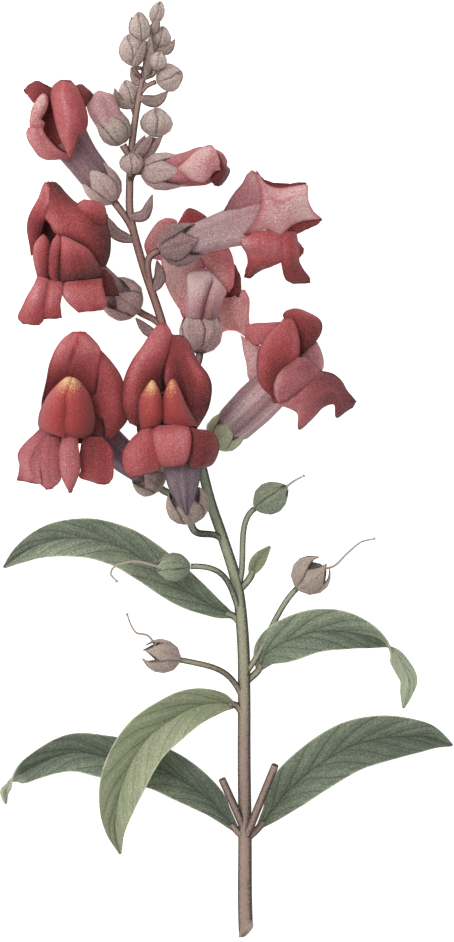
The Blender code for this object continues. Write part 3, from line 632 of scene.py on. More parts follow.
flowerThree = [
    dict(  # the back of the mouth, a dark sheet for the painted shade inside it, then the right wall of the hood
        rows=[
            (-46.6, 14, -31, 14, 30, 29, 29), (-46.6, 10, -30.4, 10, 31, 31, 30),
            (-46, 6.6, -30.6, 7, 31.4, 32, 31),
        ],
        tone=(0.2, 0.2, 0.24),
    ),
    dict(
        rows=[
            (-36, 8, -28.5, 8.5, 27, 29, 27), (-35, 12, -24.8, 13, 26, 29.5, 27),
            (-34, 18, -25, 18.5, 26, 30, 28), (-35, 23, -26.4, 23.5, 26, 30.5, 28.5),
            (-36.5, 27.5, -29.2, 27.6, 28, 31.5, 29.5), (-37, 31, -32, 30.6, 30, 32, 30),
        ],
        tone=(0.48, 0.46, 0.46, 0.48, 0.52, 0.58), shadeAndHighlights=[(0.75, 0.55, 0.3, 0.3, 0.08)],
    ),
    dict(  # the vault of the hood
        rows=[
            (-46.3, 15.5, -33.5, 15, 27, 24, 25), (-46, 18, -32.8, 18, 29, 25, 27),
            (-45, 22.5, -32.4, 22.4, 31, 28, 30), (-44.2, 26.8, -31.8, 27, 32, 32, 32),
            (-42.6, 30.4, -31.5, 30.2, 32.5, 34.5, 32.5), (-40.6, 33, -33.6, 33, 32.5, 34.5, 32.5),
            (-38.4, 34.6, -35.4, 34.7, 32.5, 33.4, 32.5),
        ],
        tone=(0.26, 0.26, 0.38, 0.56, 0.68, 0.7, 0.62),
        shadeAndHighlights=[(0.42, 0.2, 0.25, 0.22, -0.1), (0.05, 0.3, 0.12, 0.5, 0.16), (0.4, 0.62, 0.045, 0.13, -0.34),
               (0.48, 0.8, 0.04, 0.1, -0.3), (0.7, 0.75, 0.2, 0.15, 0.06)],
    ),
    dict(  # the skirt, from left to right
        rows=[
            (-46.4, 10.6, -43, 9, 33.4, 34.4, 34.4), (-49.6, 7.6, -45, 5, 33, 34.6, 34.6),
            (-52, 4.4, -46.4, 0.6, 32, 34.2, 34.4), (-51.6, 1.2, -46, -2.6, 31.4, 33.4, 33.6),
            (-52.4, -2.3, -46, -3.4, 31, 32, 33),
        ],
        tone=(0.5, 0.62, 0.66, 0.64, 0.6), shadeAndHighlights=[(0.55, 0.4, 0.06, 0.3, -0.16)], mauve=0.2,
        pleats=(1.5, 0.3),
    ),
    dict(
        rows=[
            (-36, 8.6, -31, 8.4, 32.6, 34, 33), (-36.6, 4.4, -28.6, 5.4, 32.6, 34, 33.2),
            (-36.4, 0.6, -28.2, 1.8, 32.4, 34, 32.8), (-36.6, -1.6, -28.4, -1.4, 32, 33.4, 32),
            (-33.4, -2.6, -29.4, -3.2, 31.6, 32.2, 31.6, 0, -0.4),
        ],
        tone=(0.3, 0.34, 0.4, 0.46, 0.5), sides=(-0.06, 0.2), shadeAndHighlights=[(0.3, 0.3, 0.2, 0.3, -0.06)],
        pleats=(1, 0.4),
    ),
    dict(
        rows=[
            (-46.4, 8.6, -41.4, 8.6, 33.6, 35, 34.4), (-47.2, 5, -41.6, 4.4, 33.6, 35.4, 34.6),
            (-47.4, 0.6, -41.2, 0, 33.2, 35, 34), (-46.6, -2.8, -41.6, -2.4, 32.6, 33.8, 33),
            (-45, -4.7, -43.4, -4.4, 32, 32.4, 32),
        ],
        tone=(0.5, 0.6, 0.66, 0.66, 0.6), shadeAndHighlights=[(0.5, 0.5, 0.05, 0.4, -0.1)], mauve=0.16,
    ),
    dict(
        rows=[
            (-41, 8.6, -37.2, 8.2, 35, 36, 35), (-41.8, 4.4, -36.8, 4.6, 35, 36.4, 35.2),
            (-41.4, -0.6, -36.6, 0.2, 34.6, 36, 34.8), (-40.2, -3.4, -37.6, -2.6, 33.8, 34.8, 34),
            (-39.2, -5.5, -38.7, -5.3, 33, 33.2, 33),
        ],
        tone=(0.66, 0.74, 0.74, 0.66, 0.5), sides=(-0.04, -0.12), mauve=0.12,
    ),
]
throatThree = [
    dict(  # the left and the right swelling of the palate
        rows=[
            (-43.6, 9.4, -41, 8.6, 34, 36, 35.6), (-46.6, 10.6, -40.2, 8.8, 33, 38, 37),
            (-46.6, 14.4, -39.8, 13.4, 33, 39, 38), (-44.6, 18.6, -39.6, 18, 33.4, 39, 38.4),
            (-42, 21.6, -38.6, 22, 34, 38, 37.6), (-40, 23.3, -38.8, 23.4, 35, 36.2, 36),
        ],
        tone=(0.24, 0.36, 0.42, 0.5, 0.78, 0.92), sides=(-0.16, -0.05),
    ),
    dict(
        rows=[
            (-41.6, 8.6, -35.4, 8.2, 34.6, 36, 34), (-41.4, 11, -33.4, 10, 37, 38.6, 33),
            (-40.6, 14.6, -33, 14, 38, 39.4, 33), (-40.6, 18.4, -34.2, 18.6, 38.4, 39.2, 33.4),
            (-39.2, 21.6, -36, 21.4, 37.6, 38.2, 34.4), (-38.6, 23.2, -37.6, 23.1, 36, 36.4, 35.6),
        ],
        tone=(0.24, 0.36, 0.44, 0.54, 0.8, 0.92), sides=(-0.1, -0.2),
    ),
]

flowerFour = [
    dict(  # the back of the hood and of the mouth, painted dark for the shade inside them, then the fold of the tube that hangs below
        rows=[
            (-15, 33, -13.2, 33, 33, 33, 33), (-19, 27, -11, 27, 31, 31, 31),
            (-22, 18, -8, 18, 29, 29, 29),
            (-22.4, 10, -7.4, 10, 31, 32, 31), (-21, 7.6, -8.6, 7.6, 32.6, 33.4, 32.6),
        ],
        tone=(0.24, 0.16, 0.14, 0.18, 0.22),
    ),
    dict(
        rows=[
            (-16, 4.4, -5.8, 4.4, 32, 33.4, 32), (-15.4, -1, -6.6, -1, 30.8, 33, 30.8),
            (-13.8, -5, -7.6, -5, 29.6, 32, 29.6), (-12, -8.4, -8.8, -8.4, 28.8, 30.4, 28.8),
            (-10.2, -11, -9.8, -11, 28.4, 28.8, 28.4),
        ],
        tone=(0.3, 0.4, 0.38, 0.36, 0.34), mauve=0.95, pleats=(3, 0.35), ruffle=(0, 0),
        shadeAndHighlights=[(0.5, 0.5, 0.05, 0.6, 0.12), (0.25, 0.4, 0.05, 0.5, 0.08), (0.78, 0.4, 0.05, 0.5, 0.08)],
    ),
    dict(  # the hood's right lobe
        rows=[
            (-10, 11, -7, 11.4, 32, 33, 31), (-13, 17, -4.6, 15.6, 30, 33, 32),
            (-15.4, 21.4, -3.8, 20.6, 31, 33.6, 33), (-15.4, 25.4, -4.8, 24.2, 33, 35, 34),
            (-14.6, 29.4, -7.4, 27.4, 34.6, 36.4, 34.6), (-14, 32.6, -9.2, 31.6, 35, 36.6, 35),
            (-13.8, 34, -10.8, 33.6, 34.6, 35.4, 34.6),
        ],
        tone=(0.2, 0.22, 0.26, 0.34, 0.34, 0.34, 0.4),
        shadeAndHighlights=[(0.75, 0.55, 0.14, 0.2, 0.32), (0.05, 0.4, 0.08, 0.16, 0.4), (0.75, 0.2, 0.25, 0.16, -0.04),
               (0.3, 0.5, 0.12, 0.3, -0.08)],
    ),
    dict(  # its left lobe, with a painted highlight along the edge
        rows=[
            (-24.2, 12, -21.2, 10.4, 30, 31, 30), (-26, 15.6, -17, 15, 31, 32.4, 29),
            (-26.2, 18.6, -15.6, 18, 32, 33, 29), (-25.4, 23.4, -15.9, 22.8, 33, 34.4, 31),
            (-23.6, 27.4, -15.4, 26.6, 34, 36, 33.4), (-21, 31, -14.4, 30.4, 35, 37.4, 35),
            (-18.8, 34.4, -13.8, 34, 35.4, 37, 35.4), (-16.8, 36.9, -15.2, 36.9, 35, 35.6, 35),
        ],
        tone=(0.22, 0.3, 0.36, 0.42, 0.52, 0.62, 0.66, 0.62),
        shadeAndHighlights=[(0.2, 0.45, 0.14, 0.3, 0.2), (0.75, 0.35, 0.3, 0.25, -0.12), (0.97, 0.5, 0.05, 0.2, -0.2),
               (0.03, 0.25, 0.05, 0.2, -0.12), (0.45, 0.7, 0.25, 0.2, 0.08)],
    ),
    dict(  # the skirt's right lobe, painted dark for shade, then its left one and its middle
        rows=[
            (-10, 11.6, -8.4, 10.4, 34, 35, 34), (-9.8, 8, -3.6, 9.6, 34.4, 36.2, 34),
            (-9.6, 4.4, -2, 6, 34.4, 36.4, 33), (-9.4, 1.4, -3.4, 2, 34, 35.6, 32.6),
            (-8.6, 0.6, -6, 0.7, 33, 33.4, 32.4),
        ],
        tone=(0.36, 0.28, 0.24, 0.27, 0.34), sides=(-0.08, 0.06),
    ),
    dict(
        rows=[
            (-21, 10.4, -18.6, 11.4, 34.6, 35.6, 35), (-24, 7.6, -18.2, 8.4, 34, 37, 36),
            (-26, 4, -17, 4, 33.4, 37.4, 36.4), (-25.4, -0.2, -16.6, 1.4, 33, 36, 35.6),
            (-23.6, -1.7, -16.8, 0.2, 32.6, 33.6, 34),
        ],
        tone=(0.62, 0.62, 0.6, 0.54, 0.48),
        shadeAndHighlights=[(0.3, 0.5, 0.16, 0.25, 0.06), (0.7, 0.6, 0.2, 0.3, -0.08)],
    ),
    dict(
        rows=[
            (-18.6, 11.2, -9.6, 11.6, 34.6, 36.6, 35), (-19, 8.6, -9, 9, 35.6, 39, 36.6),
            (-18.4, 5.4, -9.1, 6, 36, 39.6, 37), (-17.6, 2.4, -9.6, 3.4, 35.6, 38.4, 36.4),
            (-15.8, 0.9, -10.8, 1.4, 34.6, 36, 35.4),
        ],
        tone=(0.62, 0.72, 0.7, 0.64, 0.52), sides=(-0.12, -0.06),
        shadeAndHighlights=[(0.8, 0.4, 0.12, 0.4, 0.1), (0.15, 0.3, 0.1, 0.3, 0.08)],
    ),
]
throatFour = [
    dict(
        rows=[
            (-21.4, 10.6, -16.6, 11.6, 34.6, 36.6, 35), (-21.8, 14, -16, 14, 35, 38.4, 36),
            (-21.6, 18, -16.2, 17.6, 35.4, 39, 36.4), (-20.2, 20.6, -17, 20.2, 36, 38.4, 36.6),
            (-18.8, 22.5, -18.2, 22.5, 36.4, 36.8, 36.4),
        ],
        tone=(0.3, 0.42, 0.54, 0.78, 0.92), sides=(-0.06, -0.12),
    ),
    dict(
        rows=[
            (-15.8, 11.8, -7, 11, 35, 36.4, 33.6), (-16, 14.4, -8.6, 13.6, 35.4, 38.4, 34),
            (-15.8, 18, -10.6, 17.4, 36, 39, 35.4), (-15, 20.6, -11.8, 20.2, 36.4, 38.6, 36),
            (-13.9, 22.8, -13.1, 22.8, 36.6, 37, 36.6),
        ],
        tone=(0.3, 0.4, 0.5, 0.72, 0.82), sides=(-0.06, -0.2),
    ),
]


flowerOne = [
    dict(  # the throat between the lips, a dark sheet for painted shade
        rows=[
            (-39.8, 78.6, -39.1, 78.7, 21.5, 21.5, 21.5), (-43.6, 81.2, -40.2, 81.4, 22, 21, 22),
            (-46.2, 84.6, -41, 84.6, 22, 20.4, 22), (-46.8, 87.4, -41.6, 88, 22, 20, 22),
            (-46, 90.6, -42, 91, 22, 20, 22), (-45.2, 94, -42.2, 94.6, 21, 20, 21),
        ],
        tone=(0.24, 0.24, 0.22, 0.2, 0.2, 0.24),
    ),
    dict(  # the two back lobes, painted dark for shade: the small one on the right, then the one at the top left
        rows=[
            (-37.4, 90.4, -35.4, 90.8, 24.2, 24.6, 23.6), (-38.4, 93, -34.2, 92.4, 24, 24.6, 23.2),
            (-38.6, 95, -33.5, 94, 23.6, 24.4, 22.8), (-37.8, 96, -35.2, 95.6, 23, 23.6, 22.6),
            (-37, 96.5, -36, 96.4, 22.6, 22.8, 22.6),
        ],
        tone=(0.2, 0.2, 0.24, 0.26, 0.28),
    ),
    dict(
        rows=[
            (-42.4, 91.6, -43, 95.2, 23.8, 24.4, 24), (-45, 92.6, -45.2, 96.4, 23.4, 24, 23.6),
            (-46.8, 92.4, -47.4, 97.3, 22.8, 23.6, 23), (-48, 91.8, -49.2, 96.6, 22.4, 23, 22.4),
            (-49.4, 93.4, -50, 95.8, 22, 22.4, 22), (-50.6, 94.8, -50.7, 95.1, 21.6, 21.7, 21.6),
        ],
        tone=(0.18, 0.24, 0.32, 0.42, 0.46, 0.42), sides=(-0.08, 0),
    ),
    dict(  # the pale left lobe, its lower and its upper part
        rows=[
            (-39.6, 78, -39.3, 78.8, 23, 23.4, 23.4), (-44.2, 77.6, -41.6, 80, 23, 24.4, 23.8),
            (-46.6, 78.4, -43.2, 81.2, 23, 24.8, 24), (-48, 80, -45, 83.4, 23, 25, 24.2),
            (-49.4, 82.2, -45.8, 84.8, 23, 25, 24.2), (-50, 84.2, -46, 85.6, 23, 24.8, 24.2),
            (-49.6, 85.6, -47, 86, 23, 24, 24),
        ],
        tone=(0.58, 0.7, 0.74, 0.74, 0.78, 0.8, 0.78), shadeAndHighlights=[(0.8, 0.5, 0.1, 0.4, 0.08)],
        pleats=(1.5, 0.2),
        mauve=0.12,
    ),
    dict(
        rows=[
            (-49, 85.6, -46, 85.4, 23, 24, 23.8), (-49.2, 87.2, -45.5, 86.8, 23, 24.8, 24),
            (-49, 88.2, -46.4, 87.8, 23.2, 25, 24.2), (-48.7, 90, -45.3, 89.6, 23.4, 25.4, 24.6),
            (-48, 91.6, -44.7, 91.5, 23.8, 25.8, 25), (-46.8, 93.4, -44.7, 93.1, 24, 25.6, 25),
            (-46, 94.1, -45.2, 94.1, 24.4, 24.8, 24.6),
        ],
        tone=(0.76, 0.8, 0.82, 0.86, 0.9, 0.88, 0.8), shadeAndHighlights=[(0.9, 0.6, 0.1, 0.3, -0.12)], mauve=0.12,
    ),
    dict(  # the lobe that lies over the middle
        rows=[
            (-39.3, 78.4, -38.8, 78.4, 25, 25.4, 25), (-40.6, 81, -38, 80.8, 25, 26.4, 25.2),
            (-41.8, 83.8, -37.2, 83.8, 25, 27.4, 25.4), (-42.7, 86.8, -35.2, 85.2, 25.4, 28.4, 24.6),
            (-43.4, 90.4, -34.8, 88.4, 25.4, 29, 24.4), (-43.9, 93.6, -36, 92.6, 25, 28.8, 24.6),
            (-43.3, 96, -37.2, 95.2, 24.6, 27.6, 24.6), (-41.4, 97.5, -39, 97.4, 24.6, 25.8, 24.6),
        ],
        tone=(0.56, 0.62, 0.66, 0.62, 0.66, 0.66, 0.58, 0.5),
        shadeAndHighlights=[(0.4, 0.6, 0.08, 0.35, 0.14), (0.85, 0.55, 0.15, 0.25, -0.14), (0.12, 0.75, 0.1, 0.2, -0.1)],
    ),
]

flowerTwo = [
    dict(  # the back of the mouth and the inside of the hood, dark sheets for painted shade, and its left wall
        rows=[
            (-47, 50, -31.6, 50, 31, 31, 31), (-46.8, 47.6, -31.2, 47.8, 32.4, 33, 32.4),
            (-46.4, 45, -31.4, 45.6, 32.4, 33, 32.4),
        ],
        tone=(0.2, 0.22, 0.26),
    ),
    dict(
        rows=[
            (-47.4, 48.6, -32, 49.5, 28, 27, 28), (-48.4, 54, -30, 54, 29, 28, 29),
            (-49.4, 59.5, -29.8, 59.5, 30, 28, 29), (-49, 63, -30.6, 64, 30, 29, 30),
            (-46.6, 67, -38, 66, 31, 30, 31), (-45.4, 71, -41, 69.8, 31, 30.6, 31),
            (-45, 71.7, -43, 71.6, 31, 31, 31),
        ],
        tone=(0.12, 0.1, 0.1, 0.14, 0.2, 0.24, 0.3),
    ),
    dict(
        rows=[
            (-48.7, 53.6, -47, 54.5, 30.4, 31, 31), (-49.5, 58, -46.4, 58.6, 31, 32, 31.4),
            (-49.7, 61, -45.6, 61.6, 31.6, 32.6, 32), (-49, 64.2, -44.8, 63.2, 32, 33.4, 33.4),
            (-46.9, 67.9, -44.2, 66.6, 32.6, 34, 34.4), (-45.8, 71, -44.2, 70, 32.8, 33.8, 34.2),
            (-45.2, 71.9, -44.4, 71.6, 33, 33.2, 33.4),
        ],
        tone=(0.3, 0.28, 0.3, 0.42, 0.6, 0.66, 0.6), shadeAndHighlights=[(0.85, 0.65, 0.25, 0.2, 0.16)],
        sides=(0.06, 0),
    ),
    dict(  # the broad folded front of the hood and its upper right lobe
        rows=[
            (-32.6, 51.2, -30.4, 50.6, 31, 31.4, 30), (-34, 54.2, -29.2, 54, 33, 33.6, 30.5),
            (-36.2, 56.4, -29, 57.6, 34.4, 35, 31), (-42.4, 59, -29.4, 60, 34.2, 36, 31.4),
            (-44, 61.4, -29.9, 62.2, 34.6, 36, 32), (-45.3, 63.4, -30.2, 64.2, 35, 36, 32.4),
            (-44.6, 66.2, -36.6, 66.2, 34.6, 35.4, 33), (-44.3, 69.2, -39.8, 68.8, 34, 34.6, 33),
            (-44.9, 71.5, -41.6, 71, 33, 33.6, 32.6), (-44.6, 72, -42.6, 71.9, 32.6, 33, 32.6),
        ],
        tone=(0.2, 0.24, 0.3, 0.42, 0.46, 0.46, 0.4, 0.28, 0.22, 0.24),
        shadeAndHighlights=[(0.04, 0.42, 0.12, 0.12, 0.26), (0.05, 0.54, 0.14, 0.08, 0.16), (0.85, 0.35, 0.3, 0.3, -0.14),
               (0.45, 0.46, 0.2, 0.14, 0.08)],
    ),
    dict(
        rows=[
            (-37.4, 63.4, -30, 60.8, 33, 35, 32), (-37.6, 65.2, -30, 63.4, 33.6, 36, 32.6),
            (-37, 66.6, -30.4, 65.6, 33.4, 35.6, 32.6), (-35.6, 67.5, -31.6, 67, 33, 34, 32.6),
        ],
        tone=(0.26, 0.5, 0.62, 0.64),
    ),
    dict(  # the left swelling of the palate, the narrow fold beside it and the right swelling
        rows=[
            (-47, 48.2, -44.4, 47.8, 33.6, 34.6, 34), (-47.8, 51, -44.2, 51, 33.4, 36, 34.6),
            (-48.2, 54, -44.1, 54, 33.4, 36.6, 35), (-47.8, 56.4, -44.2, 56.6, 33.8, 36.4, 35),
            (-46.4, 58.2, -44.8, 58, 34.6, 35.6, 35), (-45.7, 58.9, -45.4, 58.9, 35, 35.2, 35),
        ],
        tone=(0.34, 0.42, 0.5, 0.6, 0.64, 0.5), sides=(0.04, -0.22),
    ),
    dict(
        rows=[
            (-43.6, 47.3, -41.7, 47.2, 34.6, 35.4, 35), (-44.3, 49.4, -41.6, 50.6, 35, 36.4, 36),
            (-44.2, 54, -41.4, 54, 35.4, 37, 36.6), (-43.4, 57, -41.1, 57.4, 35.8, 37, 37),
            (-42.2, 58.9, -41.8, 59, 36.4, 36.8, 36.6),
        ],
        tone=(0.3, 0.34, 0.44, 0.58, 0.55), sides=(0.12, -0.24),
    ),
    dict(
        rows=[
            (-41.7, 47.1, -31.6, 48.4, 35, 36, 33), (-41.6, 49.4, -31, 49.4, 36, 38, 33.4),
            (-41.4, 52.4, -32.4, 52.2, 37, 38.6, 34), (-41.2, 55.2, -34.4, 55, 37.4, 38.6, 35.4),
            (-41.1, 57.6, -37.8, 57, 37.2, 38, 36.4), (-41.3, 58.6, -40.6, 58.4, 36.8, 37, 36.6),
        ],
        tone=(0.18, 0.24, 0.38, 0.58, 0.66, 0.6), shadeAndHighlights=[(0.75, 0.6, 0.2, 0.2, 0.06)],
    ),
    dict(  # the scrap of petal behind on the right, painted dark for shade
        rows=[
            (-32, 50, -30.3, 50.2, 30, 30.4, 30), (-31.6, 47.4, -28.6, 48.2, 30, 30.6, 29.6),
            (-31.4, 45, -27.6, 46, 30, 30.4, 29.4), (-31.2, 43.4, -26.8, 43.6, 29.6, 30, 29),
        ],
        tone=(0.26, 0.2, 0.18, 0.22),
    ),
    dict(  # the skirt, from left to right
        rows=[
            (-47, 48.6, -44, 47.6, 34, 35, 34.6), (-48.2, 46, -44.6, 45, 33.8, 35.6, 34.6),
            (-49.6, 43.6, -45.2, 42, 33.4, 35.4, 34), (-51.2, 40.4, -45.6, 39.4, 32.6, 34.6, 33.4),
            (-52, 38.2, -45.8, 37.4, 32, 33.8, 33), (-51, 36.7, -46.8, 36.2, 31.8, 32.6, 32.4),
        ],
        tone=(0.62, 0.76, 0.74, 0.62, 0.56, 0.5), shadeAndHighlights=[(0.4, 0.35, 0.15, 0.2, 0.08)],
        sides=(-0.06, -0.1),
        pleats=(1, 0.2),
    ),
    dict(
        rows=[
            (-44.6, 47.6, -40.8, 47, 34.6, 35.4, 35), (-45, 45, -41, 44.6, 34.4, 35.8, 34.8),
            (-45.4, 42, -41.4, 42, 34, 35.4, 34.4), (-45.8, 39.4, -41.4, 40, 33.4, 34.8, 34),
            (-46, 37.8, -41, 38, 33, 33.6, 33.4),
        ],
        tone=(0.6, 0.74, 0.68, 0.52, 0.46), sides=(-0.18, 0.02), shadeAndHighlights=[(0.35, 0.4, 0.12, 0.3, 0.08)],
    ),
    dict(
        rows=[
            (-40.4, 47, -31.1, 48, 35, 36, 34), (-41, 44.4, -30.8, 45.4, 34.6, 36, 33.6),
            (-40, 42.4, -30.2, 43, 34.2, 35.6, 33.2), (-38.4, 40.8, -29.8, 41.6, 33.6, 34.8, 33),
            (-37, 39.5, -31, 40, 33, 33.6, 32.8),
        ],
        tone=(0.54, 0.68, 0.68, 0.62, 0.56),
        shadeAndHighlights=[(0.05, 0.25, 0.1, 0.3, 0.16), (0.5, 0.05, 0.3, 0.08, -0.14)],
        pleats=(2, 0.25),
    ),
]

flowerFive = [
    dict(  # the fin at the back of the upper lip
        rows=[
            (-1.3, 63.7, -0.6, 63.8, 24, 24, 24), (0.2, 66.8, 2.6, 64.8, 24.5, 25.5, 26),
            (2.1, 69.6, 5.6, 66, 25, 26.4, 27), (4, 72, 8.4, 67, 25.4, 27, 27.6),
            (5.1, 74, 8.4, 70.2, 26, 27.4, 28), (6.2, 75, 7.6, 74.2, 27, 27.6, 28),
        ],
        tone=(0.36, 0.4, 0.5, 0.6, 0.72, 0.78), mauve=0.5, sides=(-0.04, 0.04),
    ),
    dict(  # the red inner side that shows at its upper and its right edge
        rows=[
            (7.3, 74.9, 7.6, 74, 27, 27, 27), (8.8, 73, 9, 71.2, 26.8, 26.6, 27),
            (11.4, 71.9, 11.4, 70, 26.6, 26.4, 27), (15, 71.6, 15, 69.8, 26.4, 26.4, 27),
            (18.4, 71.9, 18.4, 70.6, 26.4, 26.4, 26.8), (19.8, 71.7, 19.8, 71.2, 26.4, 26.4, 26.6),
        ],
        tone=(0.3, 0.3, 0.32, 0.34, 0.32, 0.3),
    ),
    dict(
        rows=[
            (16, 61.8, 14.4, 58.5, 26, 26.2, 25.6), (18.2, 62.7, 16.6, 58.9, 26, 26, 25.4),
            (20, 62.9, 19.6, 60.1, 26, 26, 25.4), (22, 63, 22.4, 61.5, 26, 26, 25.4),
            (23.5, 63.1, 23.7, 62.7, 26, 26, 25.6),
        ],
        tone=(0.38, 0.36, 0.32, 0.3, 0.3),
    ),
    dict(  # the lower lip: its right, middle and left lobes
        rows=[
            (15, 58.6, 15.4, 54, 25.6, 26.4, 25), (17, 57.9, 17, 53.4, 25, 25.8, 24.4),
            (18.2, 56.6, 17.8, 53.2, 24.4, 25, 24), (19.2, 55.4, 19, 54.3, 24, 24.2, 23.8),
        ],
        tone=(0.4, 0.42, 0.38, 0.34),
    ),
    dict(
        rows=[
            (12.4, 60, 17.2, 59.6, 26.4, 28.4, 26), (12.8, 55.4, 18, 54.6, 26, 28, 25),
            (13.5, 52.4, 18, 52.2, 24, 25.4, 23.6), (13.9, 50, 19.2, 50.2, 22.8, 24, 22.4),
            (14.8, 47.7, 20.6, 48.2, 21.6, 22.4, 21.2), (16.2, 46.8, 20.8, 46.9, 21, 21.2, 20.6),
        ],
        tone=(0.48, 0.52, 0.42, 0.32, 0.28, 0.3), shadeAndHighlights=[(0.3, 0.3, 0.15, 0.3, 0.08)], pleats=(1, 0.3),
    ),
    dict(
        rows=[
            (3.6, 59.6, 15, 60, 26, 29, 27), (3.4, 56.8, 15.4, 56.6, 26.6, 29.6, 26.4),
            (4.8, 54.4, 14.4, 52.9, 24, 26.4, 24.6), (5.2, 52, 11.4, 51.2, 23, 24.8, 23.4),
            (4.7, 50.2, 8.4, 50.1, 22, 23, 22.2), (4.3, 48.3, 5.8, 48.1, 21.4, 21.8, 21.4),
        ],
        tone=(0.58, 0.7, 0.62, 0.44, 0.34, 0.32),
        shadeAndHighlights=[(0.1, 0.2, 0.14, 0.14, 0.16), (0.6, 0.25, 0.2, 0.12, 0.06)],
        pleats=(1.5, 0.3),
    ),
    dict(  # the pale outer side of the upper lip
        rows=[
            (6.4, 74.8, 4, 58.8, 28.4, 30.2, 28.4, 3.3, 0),
            (7.8, 73.8, 7, 58.9, 28.6, 31.2, 28.2, 2.2, 0),
            (9.5, 71.6, 10, 59.6, 28.2, 32, 28, 1, 0), (12.6, 70.4, 13.4, 58.5, 27.8, 32, 27.6, 0.4, 0),
            (16.2, 70.8, 15.8, 61, 27.6, 31.4, 27.2), (19.4, 71.3, 18.6, 62.3, 27.4, 30.4, 27, -0.4, 0),
            (20.3, 70.9, 23.6, 63, 27, 29, 26.8, -1.4, -0.5),
        ],
        tone=(0.55, 0.82, 0.86, 0.86, 0.88, 0.93, 0.9), mauve=0.3,
        shadeAndHighlights=[(0.3, 0.55, 0.03, 0.3, -0.14), (0.97, 0.45, 0.06, 0.4, -0.1)], ruffle=(4, 0.3),
    ),
]

flowerSix = [
    dict(  # the upper left and the upper middle petal
        rows=[
            (-19.8, 53.4, -13, 52, 6, 7, 6), (-20.6, 57, -12, 56.4, 6, 8, 7),
            (-17.8, 61.8, -12.6, 60.6, 6, 8, 7),
            (-15.6, 63.2, -12.6, 62.4, 6, 7.4, 6.6), (-14.4, 63.3, -13.2, 63.1, 6, 6.2, 6),
        ],
        tone=(0.8, 0.84, 0.86, 0.84, 0.78), sides=(-0.04, -0.06), mauve=0.1,
    ),
    dict(
        rows=[
            (-12.3, 61.9, -12, 60.6, 7, 7.2, 7), (-10.8, 64.6, -10.4, 60.6, 7, 8, 7),
            (-9.2, 65.8, -8, 60.6, 7, 8.4, 7), (-6.2, 64.4, -5.4, 61, 7, 8, 7),
            (-4, 62.6, -4.2, 62, 7, 7.2, 7),
        ],
        tone=(0.4, 0.44, 0.44, 0.38, 0.3),
    ),
    dict(  # the petals beside the tube: left, dark right, bright right and lower right
        rows=[
            (-18.4, 57, -5, 58, 8, 10, 9), (-16.8, 54, -5, 53.4, 9, 11, 10),
            (-16, 50.4, -6, 49, 9, 11.4, 11),
            (-15.4, 47.2, -7.6, 46, 9, 11.6, 12), (-14, 44, -8.6, 43, 9, 11.4, 12),
            (-12.2, 41, -9.2, 40.4, 10, 11.4, 12), (-11, 38.4, -9.8, 38.6, 12, 12.1, 12),
        ],
        tone=(0.9, 0.92, 0.92, 0.9, 0.88, 0.82, 0.72), sides=(0.04, -0.1), mauve=0.08,
    ),
    dict(
        rows=[
            (-0.4, 53, 2, 51.6, 8, 8.6, 8), (-0.6, 50, 3.2, 49, 8, 9, 8),
            (-0.8, 46.8, 3.5, 46.4, 8, 9, 8),
            (-1.4, 43.4, 3.1, 43.6, 8, 8.6, 8),
        ],
        tone=(0.3, 0.26, 0.24, 0.3),
    ),
    dict(
        rows=[
            (-7.4, 57, -0.4, 57.6, 10, 11, 10), (-6.4, 53, 1.4, 53.4, 11, 12.4, 10.4),
            (-3.6, 48.6, 1.8, 48.6, 12, 13, 10.6), (-1.8, 46.4, 1.4, 46.4, 12, 12.4, 11),
            (-0.2, 44.7, 0.5, 44.7, 12, 12.1, 12),
        ],
        tone=(0.74, 0.84, 0.86, 0.8, 0.68), shadeAndHighlights=[(0.85, 0.5, 0.15, 0.4, -0.08)],
    ),
    dict(
        rows=[
            (-3, 46, 4.4, 45.4, 7, 8.4, 7), (-2.4, 42, 5.5, 43, 6.4, 8.4, 5),
            (-2.6, 38, 5.4, 38.8, 5.6, 7.4, 4),
            (-2.6, 35.6, 5.7, 35.6, 4.4, 6, 3), (-1.9, 34.4, 5.9, 32.2, 3, 4.4, 2, 0, 2),
        ],
        tone=(0.84, 0.88, 0.9, 0.9, 0.86), sides=(-0.06, 0.04), pleats=(1.5, 0.3),
    ),
    dict(  # the two folds of the tube
        rows=[
            (-10, 38.4, -6.2, 38, 15, 18, 16.4), (-9.8, 41.5, -5.4, 41.5, 14.6, 18.4, 16.6),
            (-9.8, 45.2, -4.6, 45, 14, 18, 16.4), (-9.9, 48.6, -3.8, 48.4, 13, 16.6, 15.4),
            (-8.6, 49.8, -4.4, 50, 12, 14, 13),
        ],
        tone=(0.6, 0.78, 0.9, 0.98, 0.94), mauve=0.65, shadeAndHighlights=[(0.9, 0.4, 0.12, 0.4, -0.14)],
    ),
    dict(
        rows=[
            (-6.2, 38, -2.6, 38.2, 15.6, 18, 15), (-5.6, 41.5, -1.8, 40.9, 15.6, 18.6, 14.6),
            (-4.6, 45, -0.8, 43.4, 15, 18, 14), (-4, 48.4, -0.4, 45.2, 14, 16, 13.4),
            (-4.1, 49.9, -3.2, 49, 13, 13.4, 13),
        ],
        tone=(0.5, 0.68, 0.82, 0.88, 0.84), sides=(0.12, -0.16), mauve=0.6,
    ),
]

